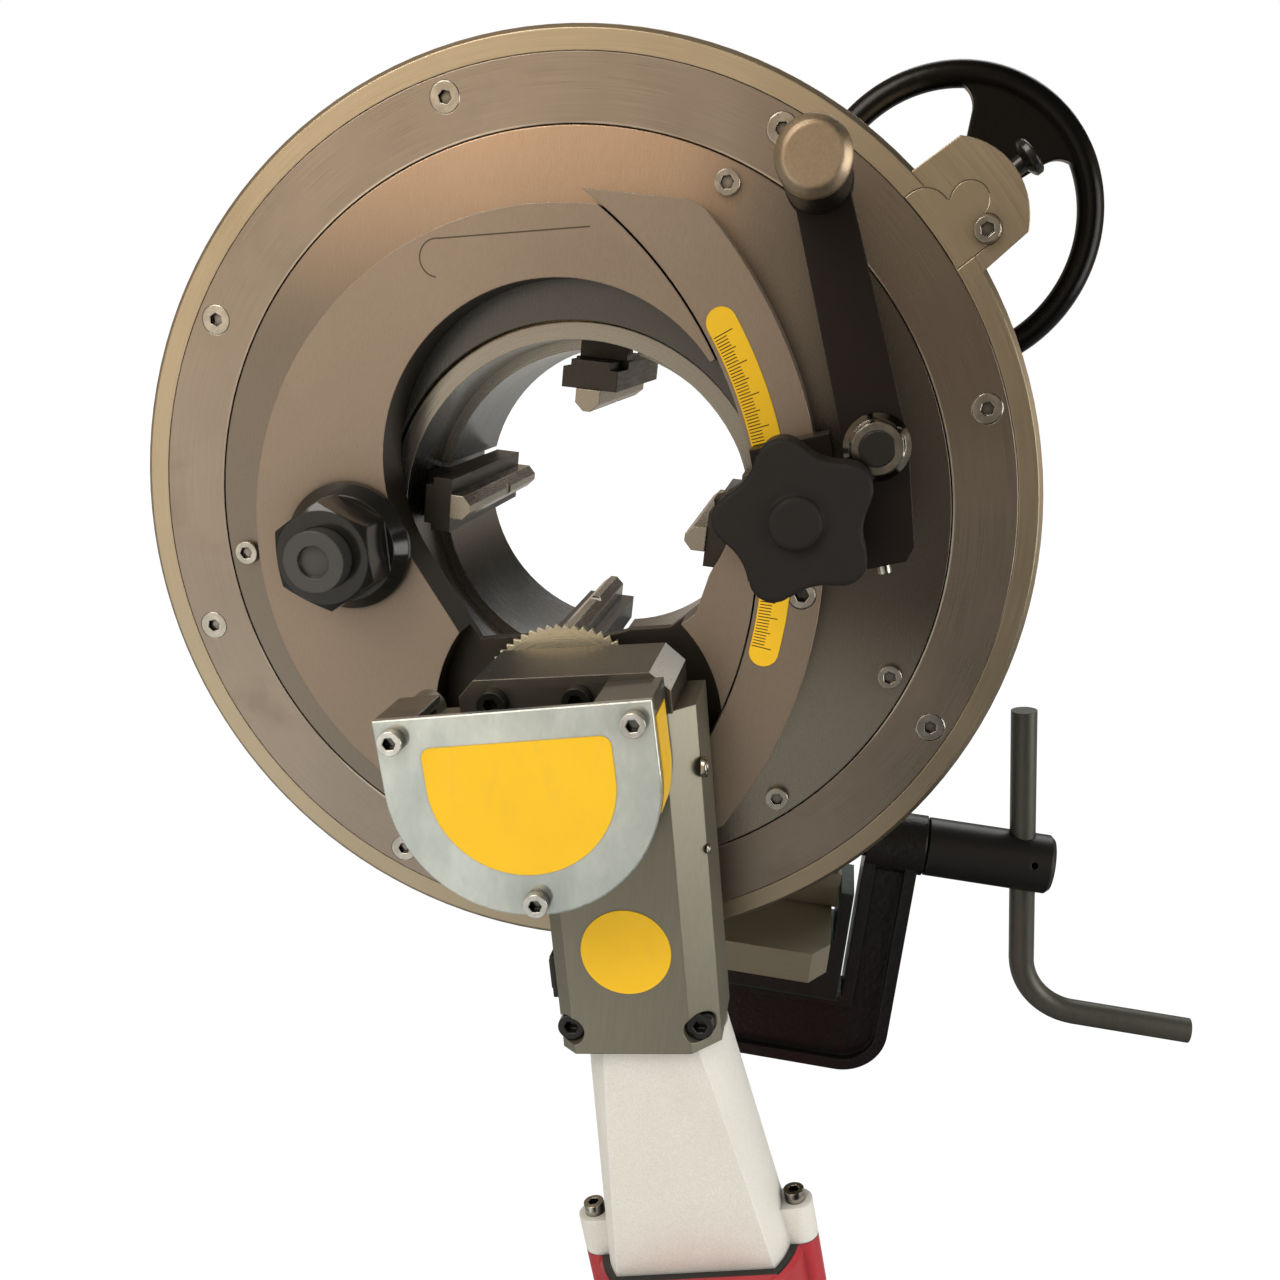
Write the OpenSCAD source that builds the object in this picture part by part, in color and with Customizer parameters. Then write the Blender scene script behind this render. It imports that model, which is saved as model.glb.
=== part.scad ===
// Orbital pipe cutter on a clamp stand.
// A pipe is gripped by four jaws in a fixed drum. A rotor turns round the pipe and carries
// a swing plate with a motor-driven saw blade, which is fed into the pipe wall.
// Frame: the pipe axis is Y, the front faces -Y, +X is to the right of the front, +Z is up.

/* [Drum] */
// Outer radius of the drum housing
drum_r = 150; // [149:0.5:154]
// Width of the bright rim band round the retaining ring
rim_band = 7.6; // [6:0.2:9]
// Depth of the housing from its front rim to the rear cover
housing_depth = 52; // [52:0.5:58]
// Thickness of the rear cover plate
cover_t = 8; // [6:0.5:12]
// Outer radius of the nose that the rotor turns on
nose_r = 64.3; // [63.8:0.1:64.8]
// Wall of the nose round its bore
nose_wall = 5.5; // [4.3:0.1:5.5]
// Thickness of the retaining ring
ring_t = 6; // [5:0.5:8]
// Width of the retaining ring
ring_w = 20.1; // [18:0.1:23]

/* [Rotor and swing plate] */
// Thickness of the swing plate
plate_t = 18; // [16:0.5:22]
// Width of the rotor's face outside the swing plate
rotor_face = 19.3; // [16:0.1:23]
// Sideways place of the swing pivot
pivot_x = -70; // [-72:0.5:-68]
// Height of the swing pivot
pivot_z = -13; // [-15:0.5:-11]
// Web of the swing plate between its opening and the guide arc
guide_web = 5.1; // [3:0.1:6.6]
// Width of the curved scale plate
scale_w = 20; // [18:0.5:24]
// Radius of the opening in the swing plate
opening_r = 57.4; // [56:0.2:58]

/* [Chuck] */
// Radius from the pipe axis to the noses of the jaw bars
jaw_tip_r = 36.5; // [36:0.5:38]
// Width of a jaw's slide
jaw_w = 16; // [14:0.5:18]
// Length of a jaw bar along the pipe
jaw_len = 95; // [80:1:98]
// Radius of the follower pin on a jaw
cam_pin_r = 4; // [3:0.25:5]
// Jaw travel for each degree that the cam ring turns
cam_rise = 0.25; // [0.2:0.01:0.26]
// Module of the cam ring's gear teeth
gear_m = 2; // [2:1:2]
// Teeth on the pinion
pinion_teeth = 13; // [13:1:14]

/* [Handwheel] */
// Outer radius of the handwheel
wheel_r = 52; // [46:1:56]
// Radius of the round section of its rim
wheel_rim_r = 4.5; // [3.5:0.5:6]

/* [Cutter head] */
// Lean of the blade guard from upright
head_tilt = 13; // [11:0.5:15]
// Lean of the gear housing from upright
gear_tilt = 11; // [9:0.5:13]
// Sideways place of the blade's axis
blade_x = 5.9; // [4:0.5:8]
// Height of the blade's axis above the lower edge of the swing plate
blade_rise = 44.2; // [42.5:0.1:45.5]
// Radius of the saw blade over its teeth
blade_r = 31.5; // [28:0.5:33]
// Teeth round the saw blade
blade_teeth = 64; // [40:2:80]
// Radius of the rounded blade guard
guard_r = 41; // [38:0.5:43]
// Depth of the blade guard
guard_depth = 25; // [20:1:30]
// Width of the gear housing
gearbox_w = 52; // [50:0.5:54]
// Offset of the worm's axis from the blade's axis
worm_offset = 26; // [26:0.25:26.5]

/* [Motor] */
// Further lean of the motor against the gear housing
motor_lean = 5.5; // [0:0.5:7]
// Radius of the motor nose where it meets the gear housing
motor_top_r = 23.5; // [21:0.5:24]
// Radius of the motor body
motor_r = 37; // [34:0.5:38]
// Length of the cast motor nose
motor_nose_len = 88; // [80:1:96]
// Length of the motor body below the nose
motor_body_len = 160; // [150:2:180]

/* [Turning lever] */
// Thickness of the lever arm
lever_t = 11; // [10:0.5:12]
// Radius of the turning grip
grip_r = 9; // [8:0.5:10]
// Length of the turning grip
grip_len = 58; // [50:1:70]

/* [Clamp stand] */
// Thickness of the foot plate
foot_t = 12.5; // [10:0.5:14]
// Gap between the drum and the foot plate
foot_gap = 13; // [10:0.5:16]
// Thickness of the upright bracket
bracket_t = 14; // [12:0.5:16]
// Radius of the clamp spindle
spindle_r = 12.2; // [11:0.2:13]
// Radius of the crank rod
crank_r = 5.2; // [4.6:0.1:5.6]

/* [Hidden] */
$fn = 64;
fit = 0.05;
slide_gap = 0.2;
run_gap = 0.4;
eps = 0.01;

// Depths along the pipe axis
nose_y = 4;
ring_seat_y = ring_t;
flange_front_y = ring_seat_y + run_gap;
flange_back_y = flange_front_y + 7.2;
rotor_back_y = flange_back_y + 6.4;
partition_y = rotor_back_y + 1;
channel_y = partition_y + 5;
jaw_slide_t = 12;
channel_back_y = channel_y + jaw_slide_t + 2 * slide_gap;
cam_y = channel_back_y + 0.5;
cam_t = 12;
cover_y = housing_depth;
cover_back_y = cover_y + cover_t;
bracket_y = cover_back_y + 30;
tube_end_y = bracket_y + bracket_t;
plate_back_y = -run_gap;
plate_front_y = plate_back_y - plate_t;

// Radii of the drum
nose_bore_r = nose_r - nose_wall;
seat_r = drum_r - rim_band;
ring_in_r = seat_r - ring_w;
rotor_r = ring_in_r - 0.5;
flange_r = rotor_r + 7.2;
flange_pocket_r = flange_r + 0.5;
rotor_body_r = rotor_r - 9.8;
rotor_pocket_r = rotor_body_r + 12;
rotor_lip_r = nose_r + 0.6;
bush_t = 4.6;
bush_out_r = nose_r + fit + bush_t;
cam_bore_r = nose_r + 2.2;
rear_bore_r = nose_bore_r - 3.8;
hub_r = 88;
ring_screw_r = (seat_r + flange_pocket_r) / 2;
rotor_screw_r = rotor_r - 6.3;
plate_r = rotor_r - rotor_face;
plate_drop = 4;
blade_z = blade_rise - plate_r - plate_drop;
guide_r = max(opening_r + guide_web - pivot_x, plate_r + 30);
rotor_screw_angles = [-47, -18.4, 71, 192];
scale_screw_angles = [1.2, 16.5];
pivot_root_r = 11;
pivot_root_at = bush_out_r + pivot_root_r + 2.5;
pivot_root_depth = 14;
pivot_angle = atan2(pivot_z, pivot_x);
scale_top_z = 102.5;
scale_corner_r = 12;

// Gear train of the chuck
gear_rim = 9;
ring_teeth = round(2 * (drum_r - gear_rim) / gear_m);
ring_pitch_r = gear_m * ring_teeth / 2;
pinion_pitch_r = gear_m * pinion_teeth / 2;
gear_addendum = 0.8 * gear_m;
gear_dedendum = 1.05 * gear_m;
gear_backlash = 0.5;
pressure_angle = 25;
lobe_angle = 45;
pinion_r = ring_pitch_r + pinion_pitch_r;
pinion_tip_r = pinion_pitch_r + gear_addendum;
gear_wall_r = ring_pitch_r + gear_addendum + 1;
pinion_pocket_r = pinion_tip_r + 0.6;
pinion_shaft_r = 6;
pinion_bush_r = 9;
lobe_half = pinion_pocket_r + 2.2;
lobe_end_r = pinion_r + pinion_pocket_r + 2.2;
lobe_end_curve = 24.5;
lobe_cover_t = 4;
lobe_step = 0.2;
wheel_y = cover_back_y + 12;

// Jaws, measured outwards from the pipe axis at rest
jaw_angles = [0, 90, 180, 270];
jaw_bar_w = 8;
jaw_bar_h = 7;
carrier_w = jaw_w + 2;
carrier_h = 9;
carrier_in_r = jaw_tip_r + jaw_bar_h;
carrier_out_r = carrier_in_r + carrier_h;
jaw_front_y = nose_y;
jaw_end_r = 106;
cam_pin_at = 95;
jaw_travel_in = 22;
jaw_travel_out = 5;
carrier_slot_r = carrier_out_r + jaw_travel_out + 1.5;

// Cutter head, in its own leaning frame with the blade's axis at x = 0, z = 0
blade_t = 1.6;
blade_y = plate_front_y + 6;
pocket_r = guard_r + 3;
pocket_shift = 4.2;
pocket_y = plate_back_y - 4.6;
worm_y = plate_front_y - 14.6;
head_front_y = plate_front_y - 37.6;
head_top_z = 25;
head_left_x = -23;
head_right_x = 42;
head_split_z = 12;
gearbox_bottom_z = -102;
gearbox_left_x = worm_offset - 4 - gearbox_w / 2;
gearbox_chamfer = 9;
guard_top_z = 22;
guard_wall = 2.5;
guard_front_y = head_front_y - guard_depth;
guard_screw_places = [[-guard_r + 5.5, guard_top_z - 6], [guard_r - 5.5, guard_top_z - 6], [0, -guard_r + 4.5]];
arbor_r = 6;
wheel_teeth = 30;
worm_m = 1.25;
wheel_pitch_r = worm_m * wheel_teeth / 2;
wheel_pocket_r = wheel_pitch_r + 2;
worm_pitch_r = worm_offset - wheel_pitch_r;
worm_pitch = PI * worm_m;
worm_thread_h = 1.15;
worm_turns = 5;
worm_bore_r = worm_pitch_r + worm_thread_h + 1;
worm_shaft_r = worm_pitch_r - worm_thread_h - 0.2;
worm_face = 9;
motor_split_z = -motor_nose_len;
motor_end_z = motor_split_z - motor_body_len;
gear_screw_places = [[gearbox_left_x + 3.6, gearbox_bottom_z + 8], [gearbox_left_x + gearbox_w - 6, gearbox_bottom_z + 8]];
plate_screw_r = pocket_r - 4.7;
plate_screw_angles = [195, 232, 260, 285];
bridge_screw_places = [[-12, head_top_z - 7], [14, head_top_z - 7]];
motor_nose_r = 33;
nose_flat = 18;
switch_w = 12;
switch_len = 26;
switch_travel = 6;
switch_z = -motor_nose_len - 112;
ear_x = 36;
ear_z = -motor_nose_len;

// Turning lever
lever_x = pivot_x + guide_r + scale_w + 10;
lever_z = 40.6;
grip_x = lever_x - 26.2;
grip_z = 108.5;
lever_foot_x = lever_x + 9.5;
lever_foot_z = 8;
lever_back_y = plate_front_y - 14.6;
lever_front_y = lever_back_y - lever_t;
lever_stud_r = 5;
lever_post_r = 8.5;

// Star knob and lock block, as a radius and an angle about the swing pivot
knob_at_r = guide_r + 14.5;
knob_at_angle = 12.9;
lock_t = 12.6;
lock_front_y = plate_front_y - lock_t;
knob_r = 23.2;
knob_waist_r = 18.2;
knob_t = 15;
knob_back_y = lever_front_y - 8.2;

// Clamp stand
foot_left_x = 14;
foot_right_x = 108;
foot_front_y = 43;
foot_back_y = bracket_y + bracket_t + 8;
foot_z = -drum_r - foot_gap;
foot_bottom_z = foot_z - foot_t;
bracket_mid_y = bracket_y + bracket_t / 2;
bracket_right_x = 110;
pad_seat_x = 104;
pad_t = 5;
pad_r = 13;
spindle_z = foot_z + 31;
frame_right_x = 140;
spindle_end_x = 194;
screw_r = 8;
boss_r = spindle_r + 0.4;
boss_x = frame_right_x + 2;
frame_t = 20;
frame_front_y = bracket_mid_y - frame_t / 2;
frame_left_x = -6;
limb_w = 22;
jaw_limb_w = 15;
spine_top_z = foot_z - 40;
frame_bottom_z = foot_z - 75;
frame_corner_r = 20;
frame_rim = 5;
frame_recess = 4;
saddle_wall = 5.4;
foot_screw_places = [36, 84];
bench_bolt_places = [32, 102];
bench_bolt_r = 4.25;
bench_bolt_depth = 20;
crank_x = spindle_end_x - 11.5;
crank_lean = 10;
crank_top = 65;
crank_drop = 44;
crank_bend_r = 26;
crank_reach = 48.5;

// Solids swept along the pipe axis and rings of copies round it
module slab(y0, y1) {
  translate([0, y1, 0]) rotate([90, 0, 0]) linear_extrude(height = y1 - y0) children();
}

module rod(y0, y1, r) {
  translate([0, y0, 0]) rotate([-90, 0, 0]) cylinder(h = y1 - y0, r = r);
}

module spun() {
  rotate([-90, 0, 0]) rotate_extrude() children();
}

module at(x, z) {
  translate([x, 0, z]) children();
}

module turned(angle) {
  rotate([0, -angle, 0]) children();
}

module round_pattern(count, radius, start = 0) {
  for (i = [0 : count - 1]) turned(start + i * 360 / count) at(radius, 0) children();
}

module head_frame() {
  at(blade_x, blade_z) turned(head_tilt) children();
}

module gear_frame() {
  at(blade_x, blade_z) turned(gear_tilt) children();
}

module worm_frame() {
  gear_frame() translate([worm_offset, worm_y, 0]) children();
}

module motor_frame() {
  gear_frame() translate([worm_offset - 1.5, worm_y, gearbox_bottom_z]) turned(motor_lean) children();
}

module pivot_frame() {
  at(pivot_x, pivot_z) children();
}

module knob_frame() {
  pivot_frame() turned(knob_at_angle) at(knob_at_r, 0) children();
}

module lobe_frame() {
  turned(lobe_angle) children();
}

// A socket cap screw whose head seats at depth y and whose shank runs back from it
module cap_screw(y, head_r, head_h, shank_r, shank_len) {
  socket_r = head_r * 0.55;
  difference() {
    union() {
      rod(y - head_h, y, head_r);
      rod(y - eps, y + shank_len, shank_r);
    }
    translate([0, y - head_h - eps, 0]) rotate([-90, 0, 0]) cylinder(h = head_h * 0.6, r = socket_r, $fn = 6);
  }
}

// A countersunk socket screw, flush with depth y
module flat_screw(y, head_r, shank_r, shank_len) {
  cone_h = head_r - shank_r;
  difference() {
    spun() polygon([[0, y], [head_r, y], [shank_r, y + cone_h], [shank_r, y + shank_len], [0, y + shank_len]]);
    translate([0, y - eps, 0]) rotate([-90, 0, 0]) cylinder(h = cone_h * 0.7, r = head_r * 0.45, $fn = 6);
  }
}

module flat_screw_hole(y, head_r, shank_r, depth) {
  cone_h = head_r - shank_r;
  spun() polygon([[0, y - 1], [head_r, y - 1], [head_r, y], [shank_r, y + cone_h], [shank_r, y + depth], [0, y + depth]]);
}

// Involute outline of a spur gear with its first tooth on the +X axis
function involute_angle(base_r, r) = sqrt(pow(r / base_r, 2) - 1) * 180 / PI - acos(base_r / r);
function gear_points(teeth, steps) =
  let (
    pitch_r = gear_m * teeth / 2,
    base_r = pitch_r * cos(pressure_angle),
    tip_r = pitch_r + gear_addendum,
    root_r = pitch_r - gear_dedendum,
    start_r = max(base_r, root_r),
    half = 90 / teeth - gear_backlash / 2 / pitch_r * 180 / PI / 2 + involute_angle(base_r, pitch_r)
  )
  [for (i = [0 : teeth - 1])
    let (mid = i * 360 / teeth)
    each concat(
      root_r < base_r ? [[root_r, mid - half]] : [],
      [for (k = [0 : steps]) let (r = start_r + (tip_r - start_r) * k / steps) [r, mid - half + involute_angle(base_r, r)]],
      [for (k = [steps : -1 : 0]) let (r = start_r + (tip_r - start_r) * k / steps) [r, mid + half - involute_angle(base_r, r)]],
      root_r < base_r ? [[root_r, mid + half]] : []
    )
  ];
function flat(points) = [for (p = points) [p[0] * cos(p[1]), p[0] * sin(p[1])]];

// Outline of the pinion lobe, drawn with its radius along +X
module lobe_outline() {
  intersection() {
    polygon([
      [drum_r - 12, -lobe_half - 1.4], [lobe_end_r, -lobe_half + 0.6], [lobe_end_r, lobe_half - 0.6], [drum_r - 12, lobe_half + 1.4]
    ]);
    translate([lobe_end_r - lobe_end_curve, 0]) circle(lobe_end_curve);
  }
}

// Outline of the pinion cover, which follows the shaft, its screw and the rim
module pinion_cover_outline(gap) {
  difference() {
    union() {
      translate([drum_r + 6, 0.6]) circle(5.8 + gap);
      translate([drum_r + 5.2, -9]) circle(4.4 + gap);
      translate([drum_r - 6.7, 5.7]) circle(7.8 + gap);
      translate([drum_r - 8, -12.8 - gap]) square([10.4 + gap, 12.8]);
      polygon([
        [drum_r - 8, -12.8], [drum_r + 2.6, -12.8], [drum_r + 6, -8], [drum_r + 6, 0.6], [drum_r - 2, 8], [drum_r - 8, 10]
      ]);
    }
    circle(gap > 0 ? seat_r - 2 : seat_r + 0.1);
  }
}

// Drum housing: fixed casting with the nose, the jaw channels and the pinion lobe
module drum_housing() {
  color("#8f8677") difference() {
    union() {
      spun() polygon([
        [nose_bore_r, nose_y], [nose_r, nose_y], [nose_r, partition_y], [rotor_pocket_r, partition_y],
        [rotor_pocket_r, flange_back_y + run_gap], [flange_pocket_r, flange_back_y + run_gap],
        [flange_pocket_r, ring_seat_y], [seat_r, ring_seat_y], [seat_r, 0], [drum_r - 1.5, 0], [drum_r, 1.5],
        [drum_r, cover_y], [gear_wall_r, cover_y], [gear_wall_r, channel_back_y], [nose_bore_r, channel_back_y]
      ]);
      lobe_frame() slab(lobe_step, cover_y - lobe_step) difference() {
        lobe_outline();
        circle(drum_r - 3);
      }
    }
    for (a = jaw_angles) turned(a) translate([nose_bore_r - 6, channel_y, -jaw_w / 2 - slide_gap])
      cube([jaw_end_r + jaw_travel_out + 2 - nose_bore_r + 6, channel_back_y - channel_y + 1, jaw_w + 2 * slide_gap]);
    round_pattern(8, ring_screw_r, 22.5) rod(ring_seat_y - 1, ring_seat_y + 13, 2.6);
    round_pattern(8, (gear_wall_r + drum_r) / 2, 22.5) rod(cover_y - 12, cover_y + 1, 2.1);
    lobe_frame() {
      at(pinion_r, 0) rod(channel_back_y, cover_y + 1, pinion_pocket_r);
      at(pinion_r, 0) rod(channel_back_y - 11, channel_back_y + 1, pinion_bush_r);
      slab(-1, lobe_cover_t) pinion_cover_outline(0.15);
      at(drum_r + 5.2, -9) rod(lobe_cover_t - 1, lobe_cover_t + 10, 2.1);
      translate([pinion_r, cam_y + cam_t / 2, 0]) rotate([0, 90, 0]) cylinder(h = 40, r = 3 + fit);
    }
  }
}

// Retaining ring: flat steel ring that holds the rotor's flange in the drum
module retaining_ring() {
  color("#6f675d") difference() {
    spun() polygon([
      [ring_in_r, 0], [seat_r - slide_gap, 0], [seat_r - slide_gap, ring_t], [ring_in_r, ring_t]
    ]);
    round_pattern(8, ring_screw_r, 22.5) flat_screw_hole(0, 4.8, 2.6, ring_t + 1);
  }
}

module retaining_screws() {
  color("#c8c8c4") round_pattern(8, ring_screw_r, 22.5) flat_screw(0, 4.8, 2.5, 16);
}

// Rear cover: closes the gear space and carries the rear tube and the bracket hub
module rear_cover() {
  color("#85807a") difference() {
    union() {
      spun() polygon([
        [rear_bore_r, cam_y - 0.3], [cam_bore_r - fit, cam_y - 0.3], [cam_bore_r - fit, cover_y], [drum_r, cover_y],
        [drum_r, cover_back_y - 1.5], [drum_r - 1.5, cover_back_y], [hub_r + 4, cover_back_y], [hub_r, cover_back_y + 4],
        [hub_r, bracket_y], [nose_r, bracket_y], [nose_r, tube_end_y], [rear_bore_r, tube_end_y]
      ]);
      lobe_frame() slab(cover_y + lobe_step, cover_back_y - lobe_step) difference() {
        lobe_outline();
        circle(drum_r - 3);
      }
    }
    for (a = jaw_angles) turned(a) translate([rear_bore_r - 8, cam_y - 1, -carrier_w / 2 - 0.6])
      cube([carrier_slot_r - rear_bore_r + 8, tube_end_y - cam_y + 2, carrier_w + 1.2]);
    lobe_frame() at(pinion_r, 0) rod(cover_y - 1, cover_back_y + 1, pinion_bush_r);
    round_pattern(8, (gear_wall_r + drum_r) / 2, 22.5) rod(cover_y - 1, cover_back_y + 1, 2.2);
    round_pattern(6, (hub_r + nose_r) / 2, 30) rod(bracket_y - 16, bracket_y + 1, 3.1);
  }
}

module rear_cover_screws() {
  color("#2b2b2b") mirror([0, 1, 0])
    round_pattern(8, (gear_wall_r + drum_r) / 2, 22.5) cap_screw(-cover_back_y, 3, 3.5, 2, cover_t + 10);
}

// Pinion cover: small keyed plate on the front of the lobe
module pinion_cover() {
  color("#9a8d7a") lobe_frame() difference() {
    slab(0, lobe_cover_t) pinion_cover_outline(0);
    at(drum_r + 5.2, -9) rod(-1, lobe_cover_t + 1, 2.1);
  }
}

module pinion_cover_screw() {
  color("#c8c8c4") lobe_frame() at(drum_r + 5.2, -9) cap_screw(0, 3.9, 2.4, 2, 12);
}

module pinion_bushes() {
  color("#b08d4a") lobe_frame() at(pinion_r, 0) {
    difference() {
      rod(channel_back_y - 11, channel_back_y, pinion_bush_r);
      rod(channel_back_y - 12, channel_back_y + 1, pinion_shaft_r + fit);
    }
    difference() {
      rod(cover_y, cover_back_y, pinion_bush_r);
      rod(cover_y - 1, cover_back_y + 1, pinion_shaft_r + fit);
    }
  }
}

// Cam ring: gear outside, with four Archimedean slots that move the jaws together
function cam_point(turn, side) =
  let (
    r = cam_pin_at + cam_rise * turn,
    slope = cam_rise * 180 / PI,
    size = norm([r, slope]),
    out = side * (cam_pin_r + 0.3)
  )
  [
    r * cos(turn) + out * (r * cos(turn) + slope * sin(turn)) / size,
    r * sin(turn) + out * (r * sin(turn) - slope * cos(turn)) / size
  ];

module cam_slot() {
  turn_in = -jaw_travel_in / cam_rise - 1;
  turn_out = jaw_travel_out / cam_rise + 1;
  steps = 40;
  turns = [for (i = [0 : steps]) turn_in + (turn_out - turn_in) * i / steps];
  polygon(concat(
    [for (t = turns) cam_point(t, 1)],
    [for (i = [steps : -1 : 0]) cam_point(turns[i], -1)]
  ));
  for (t = [turn_in, turn_out]) rotate(t) translate([cam_pin_at + cam_rise * t, 0]) circle(cam_pin_r + 0.35);
}

module cam_ring() {
  color("#7d7f82") difference() {
    slab(cam_y, cam_y + cam_t) difference() {
      rotate(lobe_angle) polygon(flat(gear_points(ring_teeth, 2)));
      circle(cam_bore_r);
    }
    slab(cam_y - 1, cam_y + 9) for (a = jaw_angles) rotate(a) cam_slot();
  }
}

// Handwheel: moulded wheel with two broad webs and rounded windows
module wheel_wedge(half, reach) {
  polygon([
    [0, 0], [reach * cos(half), -reach * sin(half)], [reach * 1.5, -reach * sin(half)], [reach * 1.5, reach * sin(half)],
    [reach * cos(half), reach * sin(half)]
  ]);
}

module wheel_window() {
  half = 65;
  corner = 8;
  reach = wheel_r - 2 * wheel_rim_r + 2;
  inset = reach - corner;
  trim = asin(corner / inset);
  difference() {
    union() {
      intersection() {
        circle(inset);
        wheel_wedge(half, reach);
      }
      intersection() {
        circle(reach);
        wheel_wedge(half - trim, reach);
      }
      for (side = [-1, 1]) rotate(side * (half - trim)) translate([inset, 0]) circle(corner);
    }
    circle(17);
  }
}

module handwheel() {
  color("#1c1c1d") at(pinion_r * cos(lobe_angle), pinion_r * sin(lobe_angle)) difference() {
    union() {
      translate([0, wheel_y, 0]) rotate([-90, 0, 0]) rotate_extrude()
        translate([wheel_r - wheel_rim_r, 0]) circle(wheel_rim_r, $fn = 32);
      slab(wheel_y - 3, wheel_y + 3) difference() {
        circle(wheel_r - wheel_rim_r);
        for (a = [152, 332]) rotate(a) wheel_window();
      }
      spun() polygon([
        [0, wheel_y - 9], [12, wheel_y - 9], [14, wheel_y - 3], [14, wheel_y + 5], [11, wheel_y + 9], [0, wheel_y + 9]
      ]);
    }
    rod(wheel_y - 20, wheel_y + 20, pinion_shaft_r);
  }
}

module pinion_shaft() {
  color("#a8a9aa") lobe_frame() at(pinion_r, 0) {
    slab(cam_y + 0.3, cam_y + cam_t - 0.3)
      rotate(180 + 180 / pinion_teeth) polygon(flat(gear_points(pinion_teeth, 3)));
    rod(channel_back_y - 10.5, wheel_y + 17, pinion_shaft_r);
  }
}

module handwheel_nut() {
  color("#2b2b2b") lobe_frame() at(pinion_r, 0) difference() {
    union() {
      rod(wheel_y + 9, wheel_y + 10.5, 11);
      translate([0, wheel_y + 10.5, 0]) rotate([-90, 0, 0]) cylinder(h = 6, r = 10.4, $fn = 6);
    }
    rod(wheel_y + 8, wheel_y + 18, pinion_shaft_r);
  }
}

// Jaw: radial slide with its follower pin and a long carrier inside the bore
module jaw_slide(angle) {
  color("#4a4642") turned(angle) {
    difference() {
      translate([carrier_in_r, jaw_front_y, -carrier_w / 2]) cube([carrier_h, jaw_len, carrier_w]);
      for (y = [jaw_front_y + 12, jaw_front_y + jaw_len - 12])
        translate([carrier_in_r - 1, y, 0]) rotate([0, 90, 0]) cylinder(h = 7, r = 1.6);
      translate([carrier_out_r - 2.5, jaw_front_y - 1, carrier_w / 2 - 2.5]) cube([4, channel_y - jaw_front_y, 4]);
      translate([carrier_out_r - 2.5, jaw_front_y - 1, -carrier_w / 2 - 1.5]) cube([4, channel_y - jaw_front_y, 4]);
    }
    translate([carrier_out_r - eps, channel_y + slide_gap, -jaw_w / 2])
      cube([jaw_end_r - carrier_out_r + eps, jaw_slide_t, jaw_w]);
    at(cam_pin_at, 0) rod(channel_y + slide_gap + 2, cam_y + 8.5, cam_pin_r);
  }
}

module jaw_slide_right() { jaw_slide(0); }
module jaw_slide_top() { jaw_slide(90); }
module jaw_slide_left() { jaw_slide(180); }
module jaw_slide_bottom() { jaw_slide(270); }

// Jaw bar: hardened insert with a roof-shaped nose and a thumb notch
module jaw_bar(angle) {
  half = jaw_bar_w / 2;
  shoulder = jaw_tip_r + 2.6;
  color("#9b958c") turned(angle) difference() {
    slab(jaw_front_y - 1, jaw_front_y + jaw_len + 1) polygon([
      [carrier_in_r, -half], [carrier_in_r, half], [shoulder, half],
      [jaw_tip_r, half * 0.3], [jaw_tip_r, -half * 0.3], [shoulder, -half]
    ]);
    translate([jaw_tip_r - 4, jaw_front_y + jaw_len * 0.55, 0]) cylinder(h = jaw_bar_w, r = 5, center = true);
  }
}

module jaw_bar_right() { jaw_bar(0); }
module jaw_bar_top() { jaw_bar(90); }
module jaw_bar_left() { jaw_bar(180); }
module jaw_bar_bottom() { jaw_bar(270); }

// Brake plunger: sprung pull pin in the end of the lobe
module brake_plunger() {
  tip = pinion_r + pinion_tip_r + 0.4;
  color("#3a3a3a") lobe_frame() translate([tip, cam_y + cam_t / 2, 0]) rotate([0, 90, 0]) {
    cylinder(h = lobe_end_r - tip + 10, r = 3);
    translate([0, 0, lobe_end_r - tip + 0.4]) cylinder(h = 3, r1 = 5.5, r2 = 4.5);
    translate([0, 0, lobe_end_r - tip + 9]) rotate_extrude() polygon([
      [0, 0], [3.6, 0], [5.8, 1], [6.5, 1.6], [6.5, 3.4], [5.9, 4], [0, 4]
    ]);
  }
}

// Rotor: steel disc that turns in the drum and carries the whole cutting unit
module rotor_disc() {
  color("#8d7f70") difference() {
    spun() polygon([
      [rotor_lip_r, 0], [rotor_r, 0], [rotor_r, flange_front_y], [flange_r, flange_front_y], [flange_r, flange_back_y],
      [rotor_body_r, flange_back_y], [rotor_body_r, rotor_back_y], [bush_out_r, rotor_back_y], [bush_out_r, nose_y + 4],
      [rotor_lip_r, nose_y + 4]
    ]);
    turned(pivot_angle) at(pivot_root_at, 0) rod(-1, pivot_root_depth, pivot_root_r);
    at(lever_x, lever_z) rod(-1, rotor_back_y - 3, lever_stud_r);
    for (a = rotor_screw_angles) turned(a) at(rotor_screw_r, 0) rod(-1, 10, 2.1);
    for (a = scale_screw_angles) pivot_frame() turned(a) at(guide_r + scale_w - 5, 0) rod(-1, 10, 2.6);
  }
}

module rotor_bush() {
  color("#b08d4a") difference() {
    rod(nose_y + 4, rotor_back_y, bush_out_r);
    rod(nose_y + 3, rotor_back_y + 1, nose_r + fit);
  }
}

module rotor_screws() {
  color("#c8c8c4") for (a = rotor_screw_angles) turned(a) at(rotor_screw_r, 0) cap_screw(0, 3.9, 2.4, 2, 8);
}

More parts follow.
